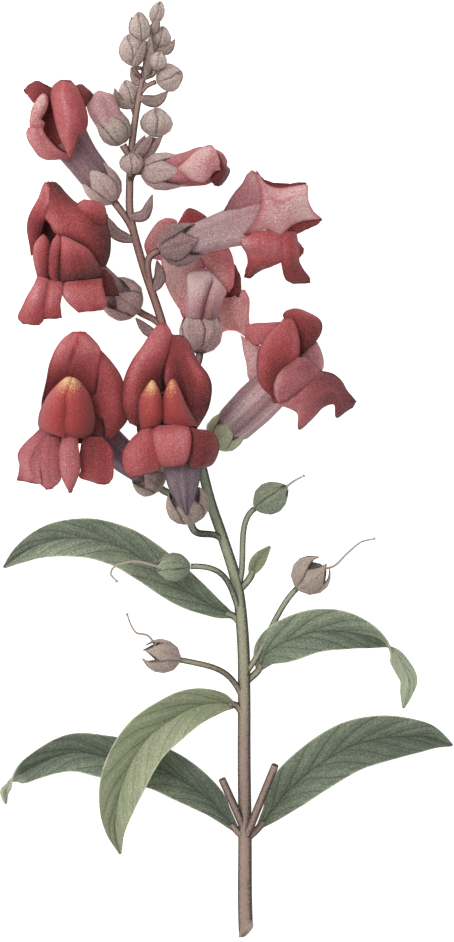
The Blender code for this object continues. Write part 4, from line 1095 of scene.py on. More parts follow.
flowerSeven = [
    dict(  # the pale and the pink lobe behind on the left
        rows=[
            (3.4, 34, 6.6, 32, 15, 15.4, 15), (4, 31, 8.4, 31, 15, 16, 16),
            (4.8, 27, 8.4, 27.4, 15.4, 16.4, 17),
            (5.3, 23.6, 8, 24, 16, 17, 18), (5.6, 22.6, 7.6, 23, 16.6, 17.4, 18),
        ],
        tone=(0.84, 0.88, 0.9, 0.84, 0.78), mauve=0.25, shadeAndHighlights=[(0.9, 0.5, 0.2, 0.4, -0.14)],
    ),
    dict(
        rows=[
            (4.6, 36.4, 4.6, 32.8, 15, 16, 15), (7.5, 36.9, 7.4, 31.4, 16, 17.4, 16.6),
            (10.6, 37, 9.2, 32.2, 17, 19, 18), (14, 37.2, 12, 34.4, 18, 19.6, 19),
        ],
        tone=(0.7, 0.7, 0.64, 0.52),
    ),
    dict(  # the top lobe and the mauve one under it
        rows=[
            (18.2, 28.4, 19.2, 29, 20, 20.2, 20), (17.4, 31, 21, 31, 20, 21, 20),
            (17, 33.6, 23.2, 34, 20, 21.6, 20),
            (15.8, 36.4, 23.7, 36.6, 20, 22, 19.6), (14.1, 38.6, 22.4, 38.4, 20, 22, 19.4),
            (14.8, 39.9, 19, 40.1, 19.6, 20.6, 19), (16.4, 40.5, 17.6, 40.5, 19.4, 19.6, 19.2),
        ],
        tone=(0.14, 0.16, 0.24, 0.34, 0.42, 0.42, 0.4), shadeAndHighlights=[(0.1, 0.3, 0.25, 0.2, -0.06)],
    ),
    dict(
        rows=[
            (22, 32.4, 22.4, 32.2, 19, 19.2, 19), (19.6, 30, 23.2, 30.6, 20, 21, 19),
            (18.2, 28, 24, 28, 21, 22, 19.6),
            (19, 26, 24, 26, 21, 22, 20), (20, 24.8, 23.6, 24.8, 21, 21.6, 20.4),
        ],
        tone=(0.5, 0.46, 0.44, 0.5, 0.55), mauve=0.5, sides=(-0.14, 0.28),
    ),
    dict(  # the red lobe in front
        rows=[
            (12, 16.9, 12.8, 17, 22, 22.4, 22), (10.2, 18.6, 12.4, 19.6, 22, 23, 21.6),
            (8.3, 21.4, 12.6, 21.8, 22, 24, 21.4), (7.6, 24.6, 13.6, 24.4, 22.4, 25, 21.6),
            (7.6, 28.4, 17.6, 28, 22.6, 26, 22.4), (8.6, 31.6, 18.1, 31, 22.6, 26.4, 23),
            (10.6, 34.4, 17.8, 34, 22.4, 26, 23), (13, 36.6, 17, 36.6, 22, 24.6, 22.6),
            (14.2, 38, 16, 38.4, 22, 23, 22),
        ],
        tone=(0.3, 0.34, 0.42, 0.44, 0.46, 0.5, 0.54, 0.56, 0.5),
        shadeAndHighlights=[(0.1, 0.65, 0.14, 0.3, 0.16), (0.85, 0.6, 0.07, 0.25, 0.14), (0.55, 0.35, 0.25, 0.2, -0.1)],
    ),
    dict(  # the long skirt
        rows=[
            (13, 17.6, 13.2, 16.5, 22, 22.2, 22), (16.6, 19.6, 16.2, 15.4, 22.4, 23.4, 21.6),
            (19.6, 22, 17.8, 14, 22.6, 24, 21), (22.4, 24.8, 18, 10.4, 22, 23.6, 19.6),
            (24.4, 24.8, 21.2, 13, 21.6, 23, 19.6), (26.6, 24.2, 24, 15.9, 21, 22, 20),
            (28.6, 22.4, 26.8, 16.6, 20.4, 21.4, 19.6), (30, 20, 27.3, 13.4, 19.6, 20.4, 18.6),
            (31.6, 18.2, 29.6, 14.8, 19, 19.6, 18.4), (32.3, 17.4, 31.4, 15.9, 18.6, 18.8, 18.4),
        ],
        tone=(0.7, 0.66, 0.58, 0.5, 0.42, 0.38, 0.34, 0.3, 0.26, 0.28), mauve=0.22,
        shadeAndHighlights=[(0.85, 0.25, 0.2, 0.14, 0.14), (0.15, 0.35, 0.12, 0.2, -0.08), (0.5, 0.5, 0.1, 0.3, 0.06)],
        pleats=(2, 0.25),
    ),
    dict(  # the mauve lobe over it, with a painted highlight along its left edge
        rows=[
            (17.4, 28.2, 19.4, 28.4, 23, 23.2, 23), (13.4, 25.2, 22, 26.4, 23.4, 25, 22),
            (11.9, 22, 23.4, 24.4, 23.6, 26, 21.6), (11.8, 19.4, 20, 21, 23.4, 25.4, 22),
            (12.8, 16.9, 16.4, 18.4, 22.6, 23.6, 22.4),
        ],
        tone=(0.6, 0.56, 0.54, 0.56, 0.62), mauve=0.3,
        shadeAndHighlights=[(0.04, 0.5, 0.1, 0.4, 0.34), (0.75, 0.25, 0.25, 0.2, -0.16)],
    ),
]

foldedEight = [  # the dark edge and the pale folded lobe of the bud that opens next
    dict(
        rows=[
            (-4.6, 81.1, -3.8, 81, 24, 24.2, 24), (-3, 79.6, -1.4, 78.4, 25, 26, 23),
            (-2.2, 77, 0, 76, 25, 26, 22.6),
            (-2, 75, 0.7, 75, 25, 25.6, 22), (-3.6, 73.6, 0, 73.2, 25, 25.6, 22),
            (-4, 72.4, -1.4, 71.4, 24.6, 25, 22.4), (-3, 71.2, -2.2, 71, 24, 24.1, 24),
        ],
        lift=2.4,
        tone=(0.36, 0.36, 0.32, 0.3, 0.28, 0.26, 0.26),
    ),
    dict(
        rows=[
            (-12.2, 75.4, -12, 74.9, 26.6, 26.8, 26.6), (-10, 77.4, -10, 73.6, 26.8, 28.2, 26.4),
            (-8, 79.4, -8.6, 72.4, 26.8, 28.8, 26.4), (-6, 80.6, -6, 71.9, 26.6, 29, 26.4),
            (-4, 81.1, -4.4, 73.2, 26.4, 28.6, 26.2), (-2.8, 79.6, -3.4, 74.6, 26, 27.6, 26),
            (-2, 77.4, -1.6, 75, 25.6, 26.4, 25.6),
        ],
        lift=4,
        tone=(0.84, 0.88, 0.92, 0.92, 0.9, 0.86, 0.84), mauve=0.15, shadeAndHighlights=[(0.5, 0.6, 0.2, 0.2, -0.08)],
    ),
]


def throatOf(petals):
    return [dict(petal, finish="palate", ruffle=(0, 0)) for petal in petals]


# Flowers: where the calyx starts, how far along the stem the stalk leaves it, the middle of the mouth,
# the ways that the mouth and its top face, and the radii of the tube

tubeCut = dict(
    rows=16, turns=48, wall=0.34, foot=2.1, start=2.3, bend=0.28, reach=0.4, spread=(0, 0.25, 0.6, 1),
    creases=5, crease=0.05, tone=0.62, streaks=0.05, fineStreaks=17, mauve=(0.95, 0.7),
)

flowers = {
    1: dict(
        base=(-28, 67, 20), root=58, mouth=(-39.6, 82.8, 17.4), face=(-0.5, 0.86, 0),
        up=(0.86, 0.5, 0), tube=(3.9, 4.1, 4.8), tubeTone=0.46, size=0.86, sepals=10, sepalTone=0.74,
        blunt=0.25,
        petals=flowerOne,
    ),
    2: dict(
        base=(-22.5, 40.2, 18), root=35, mouth=(-40.2, 53.2, 31), face=(-0.35, 0.05, 0.93),
        up=(0, 1, 0), tube=(3.6, 4.3, 5),
        petals=flowerTwo,
    ),
    3: dict(
        base=(-16.8, -4.2, 15), root=-8.5, mouth=(-38.8, 14.8, 28), face=(-0.3, 0.1, 0.94),
        up=(0, 1, 0), tube=(3.6, 4.3, 5), tubeTone=0.36, size=0.86, sepals=6.6, calyx="bud",
        sepalTone=0.4,
        petals=flowerThree + throatOf(throatThree),
    ),
    4: dict(
        base=(-9, -13, 22), root=-18, mouth=(-14.8, 14.8, 33), face=(0, 0.15, 0.98),
        up=(0, 1, 0), tube=(3.7, 4.3, 5), tubeTone=0.36, sepals=9, calyx="bud", sepalTone=0.4,
        petals=flowerFour + throatOf(throatFour),
    ),
    5: dict(
        base=(-16.9, 55, 22), root=45, mouth=(10, 62.6, 24), face=(0.97, 0.14, 0.1),
        up=(0, 1, 0), tube=(3.6, 4.7, 6), tubeTone=0.74, sepalTone=0.35,
        petals=flowerFive,
    ),
    6: dict(
        base=(-6.8, 29.5, 15), root=18, bend=0.1, mouth=(-5.8, 47.2, 9.5), face=(0.05, 0.6, -0.8),
        up=(0, 0.8, 0.6), tube=(3.7, 4.1, 4.8), tubeTone=0.74, turned=36, sepalTone=0.6,
        petals=flowerSix,
    ),
    7: dict(
        base=(-3.9, 6.4, 14), root=0, mouth=(11.6, 21.4, 18), face=(0.72, 0.68, 0.1),
        up=(-0.6, 0.55, -0.55), tube=(4.7, 5.2, 5), calyx="greenSepal", sepals=9, size=0.9, tubeTone=0.7,
        blunt=0.2,
        streaks=0.14, sepalTone=0.58,
        petals=flowerSeven,
    ),
}

largeBuds = {
    8: dict(
        base=(-21.6, 74.8, 22.4), root=72, size=0.88, sepals=11, sepalTone=0.66, blunt=0.15,
        corolla=[((-17.8, 74.8, 22.8), 3.3), ((-14.2, 74.9, 23.4), 3.8), ((-9.5, 75.5, 24), 4.3),
                 ((-6, 76.3, 24.2), 4.7), ((-2.8, 76.9, 24), 3.6), ((-1, 76.6, 23.6), 1.8)],
        tip=(-0.2, 76.2, 23.2), pale=0.06, mauve=0.25, petals=foldedEight,
    ),
    9: dict(
        base=(-26, 81.4, 20.4), root=77, size=0.76, sepals=8.4, calyx="bud", sepalTone=0.5,
        corolla=[((-28, 85.2, 20.4), 3.1), ((-29.7, 88.4, 20.8), 3.6), ((-31, 91.2, 21), 3.8),
                 ((-31.7, 93.4, 21), 3.2)],
        tip=(-32, 95, 21), pale=0.2, mauve=0.7,
    ),
}


def calyxAxis(bloom):
    goal = bloom["mouth"] if "mouth" in bloom else bloom["corolla"][0][0]
    return (Vector(goal) - Vector(bloom["base"])).normalized()


def tubeLine(bloom):
    face = Vector(bloom["face"]).normalized()
    up = Vector(bloom["up"])
    up = (up - face * up.dot(face)).normalized()
    axis = calyxAxis(bloom)
    mouth = Vector(bloom["mouth"])
    foot = Vector(bloom["base"]) + axis * tubeCut["start"]
    span = (mouth - foot).length
    pull = mouth - face * span * bloom.get("bend", tubeCut["bend"])
    path = pulledLine(foot, foot + axis * span * tubeCut["reach"], pull, mouth, tubeCut["rows"])
    ways = waysOf(path)
    ways[-1] = face
    ups = carriedSides(path[::-1], up)[::-1]
    share = np.linspace(0, 1, len(path))
    radii = np.interp(share, tubeCut["spread"], (tubeCut["foot"], *bloom["tube"]))
    return path, ways, ups, radii


def addTube(piece, bloom):
    turns = np.linspace(0, 2 * math.pi, tubeCut["turns"], endpoint=False)
    crease = np.cos(tubeCut["creases"] * turns)
    rings = [ringAt(centre, high, np.cross(high, way), turns, radius * (1 + tubeCut["crease"] * crease))
             for centre, way, high, radius in zip(*tubeLine(bloom))]
    v = np.linspace(0, 1, len(rings))[:, None]
    streaks = bloom.get("streaks", tubeCut["streaks"])
    tone = bloom.get("tubeTone", tubeCut["tone"]) - streaks * crease
    tone = tone - 0.5 * streaks * np.cos(tubeCut["fineStreaks"] * turns)
    mauve = np.interp(v, (0, 1), tubeCut["mauve"])
    addSheet(piece, rings, tubeCut["wall"], "petal", tone[None], mauve, wrap=True)


def makeCorolla(number, bloom):
    piece = startPiece(petalCut["round"])
    addTube(piece, bloom)
    for petal in bloom["petals"]:
        addPetal(piece, petal)
    return makePiece(piece, f"corollaFine_{number}", [f"corolla_{number}"])


for number, bloom in flowers.items():
    makeCorolla(number, bloom)
print("open flowers made")


largeBudCut = dict(
    start=0.7, foot=2.1, tip=0.3, steps=5, turns=48, folds=5, fold=0.07, tone=0.58, foldShade=0.12, fade=0.3,
)


def makeLargeBud(number, bud):
    piece = startPiece()
    axis = calyxAxis(bud)
    foot = Vector(bud["base"]) + axis * tubeCut["start"]
    places, girths = zip(*bud["corolla"])
    places = smoothLine([foot + axis * largeBudCut["start"], *places, bud["tip"]], largeBudCut["steps"])
    girths = (largeBudCut["foot"] * bud["size"], *girths, largeBudCut["tip"])
    radii = smoothLine([(girth,) for girth in girths], largeBudCut["steps"])[:, 0]
    turns = np.linspace(0, 2 * math.pi, largeBudCut["turns"], endpoint=False)
    folds = np.cos(largeBudCut["folds"] * turns)
    sides = carriedSides(places, axis.orthogonal())
    rings = [ringAt(centre, side, np.cross(way, side), turns, radius * (1 + largeBudCut["fold"] * folds))
             for centre, way, side, radius in zip(places, waysOf(places), sides, radii)]
    v = np.linspace(0, 1, len(rings))[:, None]
    # the folds are painted lighter on their ridges and darker in their grooves, a painted shade that fades
    # towards the tip
    tone = largeBudCut["tone"] + largeBudCut["foldShade"] * folds[None] * (1 - v)
    addSolid(piece, rings, "petal", tone + bud["pale"], bud["mauve"] * (1 - v * largeBudCut["fade"]))
    for petal in bud.get("petals", []):
        addPetal(piece, petal)
    return makePiece(piece, f"corollaFine_{number}", [f"corolla_{number}"])


for number, bud in largeBuds.items():
    makeLargeBud(number, bud)


# Calyces and buds

sepalCut = dict(
    count=5, rows=18, across=13, wall=0.3, spread=50, tip=0.012, ridge=0.05, lap=0.03,
    belly=0.12, edge=0.42, edgeStart=0.85, midrib=0.16, midribWidth=0.12, brighter=0.12, between=0.05,
)
eggCut = dict(
    across=32, rows=14, ribs=10, rib=0.04,
    girth=((0, 0.2), (0.08, 0.5), (0.25, 0.88), (0.48, 1), (0.7, 0.82), (0.88, 0.42), (1, 0.05)),
)


def eggRings(foot, tip, radius, count=eggCut["across"], rows=eggCut["rows"]):
    foot, tip = Vector(foot), Vector(tip)
    axis = (tip - foot).normalized()
    side = axis.orthogonal().normalized()
    turns = np.linspace(0, 2 * math.pi, count, endpoint=False)
    ribs = 1 + eggCut["rib"] * np.cos(eggCut["ribs"] * turns)
    shares = np.linspace(0.02, 0.99, rows)
    girths = np.interp(shares, *zip(*eggCut["girth"])) * radius
    return np.array([ringAt(foot.lerp(tip, share), side, axis.cross(side), turns, girth * ribs)
                     for share, girth in zip(shares, girths)])


def addSepals(piece, base, axis, cup):
    # five pointed sepals round an axis, each lapping the next at its foot
    axis = Vector(axis).normalized()
    side = (Vector((0, 0, 1)) - axis * axis.z).normalized()
    other = axis.cross(side)
    v = np.linspace(0, 1, sepalCut["rows"])
    s = np.linspace(-1, 1, sepalCut["across"])
    ridge = 1 + sepalCut["ridge"] * (1 - np.abs(s)) + sepalCut["lap"] * (s > 0)
    narrow = np.clip((v - cup["blunt"]) / (1 - cup["blunt"]), 0, 1)
    half = math.radians(sepalCut["spread"]) * np.clip(1 - narrow ** 1.5, sepalCut["tip"], 1)
    out = np.interp(v, *zip(*cup["shape"])) * cup["radius"]
    # each sepal is painted lighter along its swelling middle, a painted highlight, with a dark line along its
    # edges and its midrib, lighter towards its tip, and a little different from the next
    shade = cup["tone"] + sepalCut["belly"] * (1 - s[None] ** 2)
    shade = shade - sepalCut["edge"] * (np.abs(s[None]) > sepalCut["edgeStart"])
    shade = shade + sepalCut["brighter"] * v[:, None]
    midrib = np.exp(-(s[None] / sepalCut["midribWidth"]) ** 2) * np.sin(math.pi * v[:, None])
    shade = shade - sepalCut["midrib"] * midrib
    for k in range(sepalCut["count"]):
        centre = cup.get("first", 0.0) + 2 * math.pi * k / sepalCut["count"]
        grid = [ringAt(np.array(base) + np.array(axis) * cup["tall"] * v[i], side, other,
                       centre + half[i] * s, out[i] * ridge) for i in range(len(v))]
        tone = shade + sepalCut["between"] * math.sin(3.1 * k)
        addSheet(piece, grid, sepalCut["wall"], cup["finish"], tone, cup.get("mauve", 0.0))


calyxCut = dict(
    start=0.4, tall=10.0, radius=4.9, coreTall=0.98, coreRadius=0.97, coreTone=-0.08, tone=0.54, blunt=0.4,
    shape=((0, 0.3), (0.1, 0.68), (0.3, 0.98), (0.55, 1.03), (0.8, 0.92), (1, 0.8)),
)


def makeCalyx(number, bloom):
    axis = calyxAxis(bloom)
    base = Vector(bloom["base"]) + axis * calyxCut["start"]
    cup = dict(
        shape=calyxCut["shape"], tall=bloom.get("sepals", calyxCut["tall"]),
        radius=calyxCut["radius"] * bloom.get("size", 1), finish=bloom.get("calyx", "sepal"),
        tone=bloom.get("sepalTone", calyxCut["tone"]), first=math.radians(bloom.get("turned", 0)),
        blunt=bloom.get("blunt", calyxCut["blunt"]),
    )
    piece = startPiece()
    coreTip = base + axis * cup["tall"] * calyxCut["coreTall"]
    core = eggRings(base, coreTip, cup["radius"] * calyxCut["coreRadius"])
    addSolid(piece, core, cup["finish"], cup["tone"] + calyxCut["coreTone"])
    addSepals(piece, base, axis, cup)
    return makePiece(piece, f"calyxFine_{number}", [f"calyx_{number}"])


for number, bloom in (*flowers.items(), *largeBuds.items()):
    makeCalyx(number, bloom)

smallBuds = {  # how far along the stem the stalk leaves it, foot, tip and radius
    "bud_1": (107, (-18.4, 111.6, 18.2), (-16.5, 117.4, 18), 1.7),
    "bud_2": (103, (-21.4, 106.6, 20), (-22, 114.8, 20.4), 2.35),
    "bud_3": (102, (-17.6, 105.2, 16.4), (-15.8, 111.2, 16), 2.6),
    "bud_4": (97, (-23.2, 101, 20.6), (-24.5, 109.2, 21.4), 2.95),
    "bud_5": (97, (-17.9, 100, 22), (-16.5, 104.8, 23), 2.05),
    "bud_6": (93, (-17.7, 97.2, 19), (-11, 99.4, 19.4), 3.35),
    "bud_7": (87, (-23.6, 91, 16.6), (-25.4, 97.8, 16), 2.4),
    "bud_8": (77, (-17.9, 83.2, 20), (-17.3, 90.8, 20), 3.8),
    "bud_9": (72, (-24, 74.2, 23.6), (-23.6, 79.4, 26), 2.8),
}


closedCup = ((0, 0.2), (0.08, 0.52), (0.25, 0.9), (0.48, 1.02), (0.7, 0.86), (0.88, 0.5), (1, 0.16))
smallBudCut = dict(
    start=0.3, tall=0.97, coreRadius=0.9, coreTone=0.66, coreMauve=0.5,
    cup=dict(finish="bud", shape=closedCup, tone=0.61, mauve=0.15, first=0.5, blunt=0.62),
)
budMauve = dict(bud_9=0.7)


def makeSmallBud(name, foot, tip, radius):
    foot, tip = Vector(foot), Vector(tip)
    axis = (tip - foot).normalized()
    foot = foot + axis * smallBudCut["start"]
    cup = dict(smallBudCut["cup"], tall=(tip - foot).length * smallBudCut["tall"], radius=radius)
    cup["mauve"] = budMauve.get(name, cup["mauve"])
    piece = startPiece()
    core = eggRings(foot, tip, radius * smallBudCut["coreRadius"])
    addSolid(piece, core, "bud", smallBudCut["coreTone"], smallBudCut["coreMauve"])
    addSepals(piece, foot, axis, cup)
    return makePiece(piece, name.replace("bud_", "budFine_"), [name])


for name, (root, foot, tip, radius) in smallBuds.items():
    makeSmallBud(name, foot, tip, radius)
print("calyces and buds made")


# Seed capsules

capsules = {
    "capsule_1": dict(root=-29, foot=(6.9, -9.4, 17), tip=(15.2, -3.8, 18), radius=3.7, straight=True,
                      style=[(16.6, -2.6, 18), (18.8, -1.4, 18)]),
    "capsule_2": dict(root=-37, foot=(-9, -23.8, 22), tip=(-18, -24.2, 22.4), radius=3.3,
                      style=[(-22.6, -22.6, 22.6), (-27.6, -23.6, 22.6), (-29, -25.6, 22.4),
                             (-27.8, -27.2, 22.2)]),
    "capsule_3": dict(root=-51, foot=(17.4, -29.4, 17), tip=(23.8, -23.2, 18), radius=3.8, straight=True,
                      open=True,
                      style=[(26.6, -23.8, 18.4), (30, -20.6, 18.6), (33.4, -17.8, 18.4),
                             (36.4, -17, 18)]),
    "capsule_4": dict(root=-58, foot=(-11.6, -47.2, 18), tip=(-17.6, -46, 19), radius=3.2, open=True,
                      style=[(-19.4, -41.4, 19.4), (-22.6, -40.4, 19.6), (-24, -38.4, 19.4),
                             (-24.8, -36.2, 19)]),
}


def rodRings(path, radii, count):
    ways = waysOf(path)
    sides = carriedSides(path, Vector(ways[0]).orthogonal())
    turns = np.linspace(0, 2 * math.pi, count, endpoint=False)
    return np.array([ringAt(centre, side, np.cross(way, side), turns, radius)
                     for centre, way, side, radius in zip(path, ways, sides, radii)])


openCup = ((0, 0.3), (0.12, 0.85), (0.35, 1.18), (0.6, 1.22), (0.8, 1.02), (1, 0.55))
podCut = dict(
    finish="pod", slot="capsule", ground=0.5, girth=1, shape=closedCup, tall=None, tone=0.48, blunt=0.7,
)
huskCut = dict(
    finish="husk", slot="husk", ground=0.3, girth=1.1, shape=openCup, tall=9.2, tone=0.66, blunt=0.28,
)
capsuleCut = dict(
    start=0.3, coreTip=0.98, styleStart=0.8, tall=0.97, groove=0.3, grooveWidth=0.2, across=32, first=0.3,
)
styleCut = dict(
    steps=8, across=10, radii=(0.34, 0.22), tone=0.95, knob=(0.2, 0.8), knobRadius=0.42, knobRows=6,
    knobTone=0.9,
)


def addStyle(piece, start, line):
    # the dried style that a flower leaves on its capsule, with a knob at its end
    path = smoothLine([start, *line], styleCut["steps"])
    rod = rodRings(path, np.linspace(*styleCut["radii"], len(path)), styleCut["across"])
    addSolid(piece, rod, "husk", styleCut["tone"])
    back, ahead = styleCut["knob"]
    onward = path[-1] - path[-2]
    knob = eggRings(path[-1] + onward * back, path[-1] + unitOf(onward) * ahead, styleCut["knobRadius"],
                    styleCut["across"], styleCut["knobRows"])
    addSolid(piece, knob, "husk", styleCut["knobTone"])


def makeCapsule(name, shape):
    cut = huskCut if shape.get("open") else podCut
    foot, tip = Vector(shape["foot"]), Vector(shape["tip"])
    axis = (tip - foot).normalized()
    foot = foot + axis * capsuleCut["start"]
    piece = startPiece()
    turns = np.linspace(0, 2 * math.pi, capsuleCut["across"], endpoint=False)
    groove = np.exp(-(np.sin(turns) / capsuleCut["grooveWidth"]) ** 2)
    coreTip = foot.lerp(tip, capsuleCut["coreTip"])
    core = eggRings(foot, coreTip, shape["radius"] * cut["girth"], capsuleCut["across"])
    addSolid(piece, core, cut["finish"], (cut["ground"] - capsuleCut["groove"] * groove)[None])
    addStyle(piece, foot.lerp(tip, capsuleCut["styleStart"]), shape["style"])
    tall = cut["tall"] or (tip - foot).length * capsuleCut["tall"]
    addSepals(piece, foot, axis, dict(cut, radius=shape["radius"], tall=tall, first=capsuleCut["first"]))
    return makePiece(piece, name.replace("capsule_", "capsuleFine_"), [name])


for name, shape in capsules.items():
    makeCapsule(name, shape)
print("capsules made")


# The stem and its stalks

stemLine = [
    ((4.8, -117.0, 1.9), 1.85), ((4.5, -107.0, 2.1), 1.8), ((4.5, -90.0, 3.8), 1.7),
    ((4.3, -73.0, 6.6), 1.65),
    ((4.3, -55.0, 9.4), 1.6), ((4.0, -42.0, 11.2), 1.55), ((2.6, -29.0, 13.0), 1.45),
    ((-0.6, -18.0, 14.4), 1.35), ((-4.3, -7.0, 15.8), 1.3), ((-7.5, 6.0, 17.0), 1.2),
    ((-12.0, 22.0, 18.2), 1.1),
    ((-16.5, 38.0, 19.0), 1.05), ((-21.0, 51.5, 19.4), 1.05), ((-24.0, 63.0, 19.6), 1.0),
    ((-24.3, 71.0, 19.6), 0.95), ((-23.8, 81.0, 19.4), 0.9), ((-22.0, 93.5, 19.0), 0.8),
    ((-20.0, 103.0, 18.6), 0.7), ((-18.6, 109.5, 18.2), 0.55),
]
sideShoots = [(-90, (-1.2, -77.2, 10.5)), (-92.5, (12, -73.6, 16))]  # how far along the stem, and end
bracts = [  # foot, belly, tip and width of each small leaf on the upper stem
    ((-23.4, 77.4, 20.6), (-21, 80.4, 21.4), (-18.6, 84, 21.4), 3.2),
    ((-24, 63.4, 20.4), (-20.6, 64, 21), (-18.6, 69, 21.4), 2.8),
    ((-23.6, 57.6, 20), (-27.8, 59.4, 19.4), (-29.8, 63.4, 19), 3),
    ((-18.8, 45, 19.6), (-16.8, 48.2, 18.6), (-17.5, 52.6, 18), 3),
    ((-17.4, 33.8, 20), (-20, 35.2, 20.4), (-22.8, 38.2, 20.4), 2.6),
    ((-21.6, 93, 19.4), (-17.8, 92.4, 17.4), (-14.8, 94.8, 17), 3),
    ((-20.3, 96.4, 19), (-22.8, 97.6, 18.6), (-24, 100.8, 18.4), 2),
    ((-23.2, 91, 18.4), (-26.8, 92.2, 17.6), (-28.1, 95.6, 18), 2.4),
    ((-17.6, 105, 19), (-14.8, 105.2, 18.4), (-13, 107.8, 18), 2.2),
    ((-23, 101, 23), (-21.8, 103.6, 23.6), (-20.4, 107.4, 23.4), 2.6),
    ((-20.2, 98.6, 20.4), (-19.4, 103.2, 22), (-19.2, 108.8, 21.4), 2.8),
    ((-18.6, 109.2, 18.4), (-18, 110.8, 19.4), (-17, 113.6, 19.4), 2.4),
    ((-21.6, 107.4, 19), (-23.6, 110, 19.6), (-23.8, 113.4, 19.6), 1.8),
    ((-24, 77.8, 20.2), (-22.4, 80.6, 20.6), (-20.4, 83.8, 20.6), 1.8),
    ((-22.4, 77.4, 20.4), (-19.4, 79.6, 20.8), (-16, 84, 20.4), 2.4),
]
leaves = {  # place, the width to the left and to the right, and roll in degrees, from foot to tip
    "leaf_upper_left": [
        (0.8, -36, 12.2, 1, 1, 0), (-3.2, -34.2, 13.8, 2.6, 2.6, 0), (-10.8, -29.5, 15.2, 4.8, 4.8, 0),
        (-20, -22.8, 15.2, 5.5, 5.6, 0), (-26.2, -19.2, 13.8, 5.5, 5.7, 0),
        (-33.8, -17, 11.2, 5.3, 5.5, 0), (-41.5, -17, 7.6, 4.7, 4.8, 0), (-47.2, -18.5, 4.4, 3.6, 3.7, 0),
        (-52.2, -21.2, 1.8, 2.2, 2.2, 0), (-56, -24.2, 0.3, 0.35, 0.35, 0),
    ],
    "leaf_upper_right": [
        (8, -49.4, 9.6, 1, 1, 0), (10.4, -45.2, 11.8, 4.2, 3.8, 0), (15.2, -42.5, 14.2, 6, 5.6, 0),
        (22.2, -40.2, 15.2, 6.2, 5.6, 0), (29, -40.2, 14.8, 5.6, 4.8, 0), (34.8, -41.2, 13.2, 4, 3.2, 15),
        (38.8, -42.5, 11.6, 2.6, 2.2, 50), (41.5, -44.5, 10, 2.2, 2, 105),
        (43.4, -47.5, 7.8, 2.5, 2.3, 155),
        (45.5, -52.2, 4.2, 2.5, 2.4, 180), (45, -56, 1.9, 1.8, 1.7, 180),
        (44.2, -59.5, 0.3, 0.35, 0.35, 180),
    ],
    "leaf_pale": [
        (1.4, -58.6, 10.4, 1, 1, 0), (-2.5, -58, 13, 3, 3.2, 0), (-8.8, -59.2, 16, 5, 5.2, 0),
        (-15, -62.8, 17.6, 6.2, 6.2, 0), (-20, -66.9, 17.2, 6.6, 6.6, 0),
        (-23.2, -71.5, 15.8, 6.6, 6.6, 0),
        (-25.8, -77.2, 13.2, 6.2, 6.2, 0), (-27.5, -83.5, 9.6, 4.8, 4.8, 0), (-28, -89.8, 5, 2.7, 2.7, 0),
        (-26.8, -96, 0.9, 0.35, 0.35, 0),
    ],
    "leaf_low_left": [
        (2, -89.6, 4.4, 1, 1, 0), (-1.2, -85.8, 5.4, 2.6, 2.6, 0), (-4.5, -82.2, 6.4, 4.2, 4.2, 0),
        (-10.8, -77.8, 7.4, 5.6, 5.6, 0), (-17, -74.5, 7.4, 6, 6, 0), (-24.2, -72.8, 6.8, 6, 6, 0),
        (-30.8, -71.5, 6, 5.8, 5.8, 0), (-38, -70.5, 4.6, 5.2, 5.2, 0), (-44.2, -72.2, 3, 4.2, 4.2, 0),
        (-50.5, -75.2, 1.6, 3, 3, -15), (-54.2, -77.2, 1.1, 2.1, 2.1, -80),
        (-56, -80.2, 1, 1.5, 1.5, -150),
        (-55.5, -83.5, 0.4, 0.35, 0.35, -180),
    ],
    "leaf_low_right": [
        (8.4, -88.8, 4, 1, 1, 0), (11, -85.4, 5.6, 2.4, 3, 0), (15.5, -79.8, 8.4, 5.6, 5.6, 0),
        (22.5, -74, 10.2, 6.7, 6.7, 0), (30.8, -69, 10.4, 6.9, 6.9, 0), (39.2, -66.9, 8.4, 6.2, 6.2, 0),
        (47.5, -66.5, 4.8, 4.4, 4.4, 0), (51.8, -67, 2.4, 2.8, 2.8, 0), (56.5, -68.8, 0.3, 0.35, 0.35, 0),
    ],
    "leaf_small": [
        (6, -26, 13.2, 0.7, 0.7, 0), (7, -23.8, 14, 1.8, 1.8, 0), (8.4, -21.6, 14.8, 1.9, 1.9, 0),
        (10.8, -18.8, 15, 0.35, 0.35, 0),
    ],
}


def onStem(along):
    path = smoothLine([place for place, _ in stemLine], 2)
    for low, high in zip(path, path[1:]):
        if low[1] <= along <= high[1]:
            t = (along - low[1]) / (high[1] - low[1])
            return low + (high - low) * t, unitOf(high - low)
    return path[-1], unitOf(path[-1] - path[-2])


stalkCut = dict(
    bent=dict(follow=0.8, reach=0.45), straight=dict(follow=0.1, reach=0.3), toEnd=0.5, push=(0.35, 0, 0),
    flower=(0.8, 0.95), bud=(0.5, 0.62), capsule=(0.78, 0.72), leaf=(0.9, 0.9), shoot=(1.05, 0.95),
    steps=dict(flower=14, bud=10, capsule=20), leafBack=1.2, leafOn=1.5,
)


def stalkLine(kind, rootAlong, end, endWay, straight=False):
    shape = stalkCut["straight" if straight else "bent"]
    root, upStem = onStem(rootAlong)
    end, endWay = np.array(end, float), np.array(endWay, float)
    span = np.linalg.norm(end - root)
    leave = unitOf(upStem * shape["follow"] + unitOf(end - root) * stalkCut["toEnd"])
    if straight:
        leave = unitOf(leave + np.array(stalkCut["push"]))
    reach = shape["reach"]
    steps = stalkCut["steps"][kind]
    return pulledLine(root, root + leave * span * reach, end - endWay * span * reach, end, steps)


stemCut = dict(sides=24, steps=6, tone=0.6, round=0.4, crestHighlight=0.95)


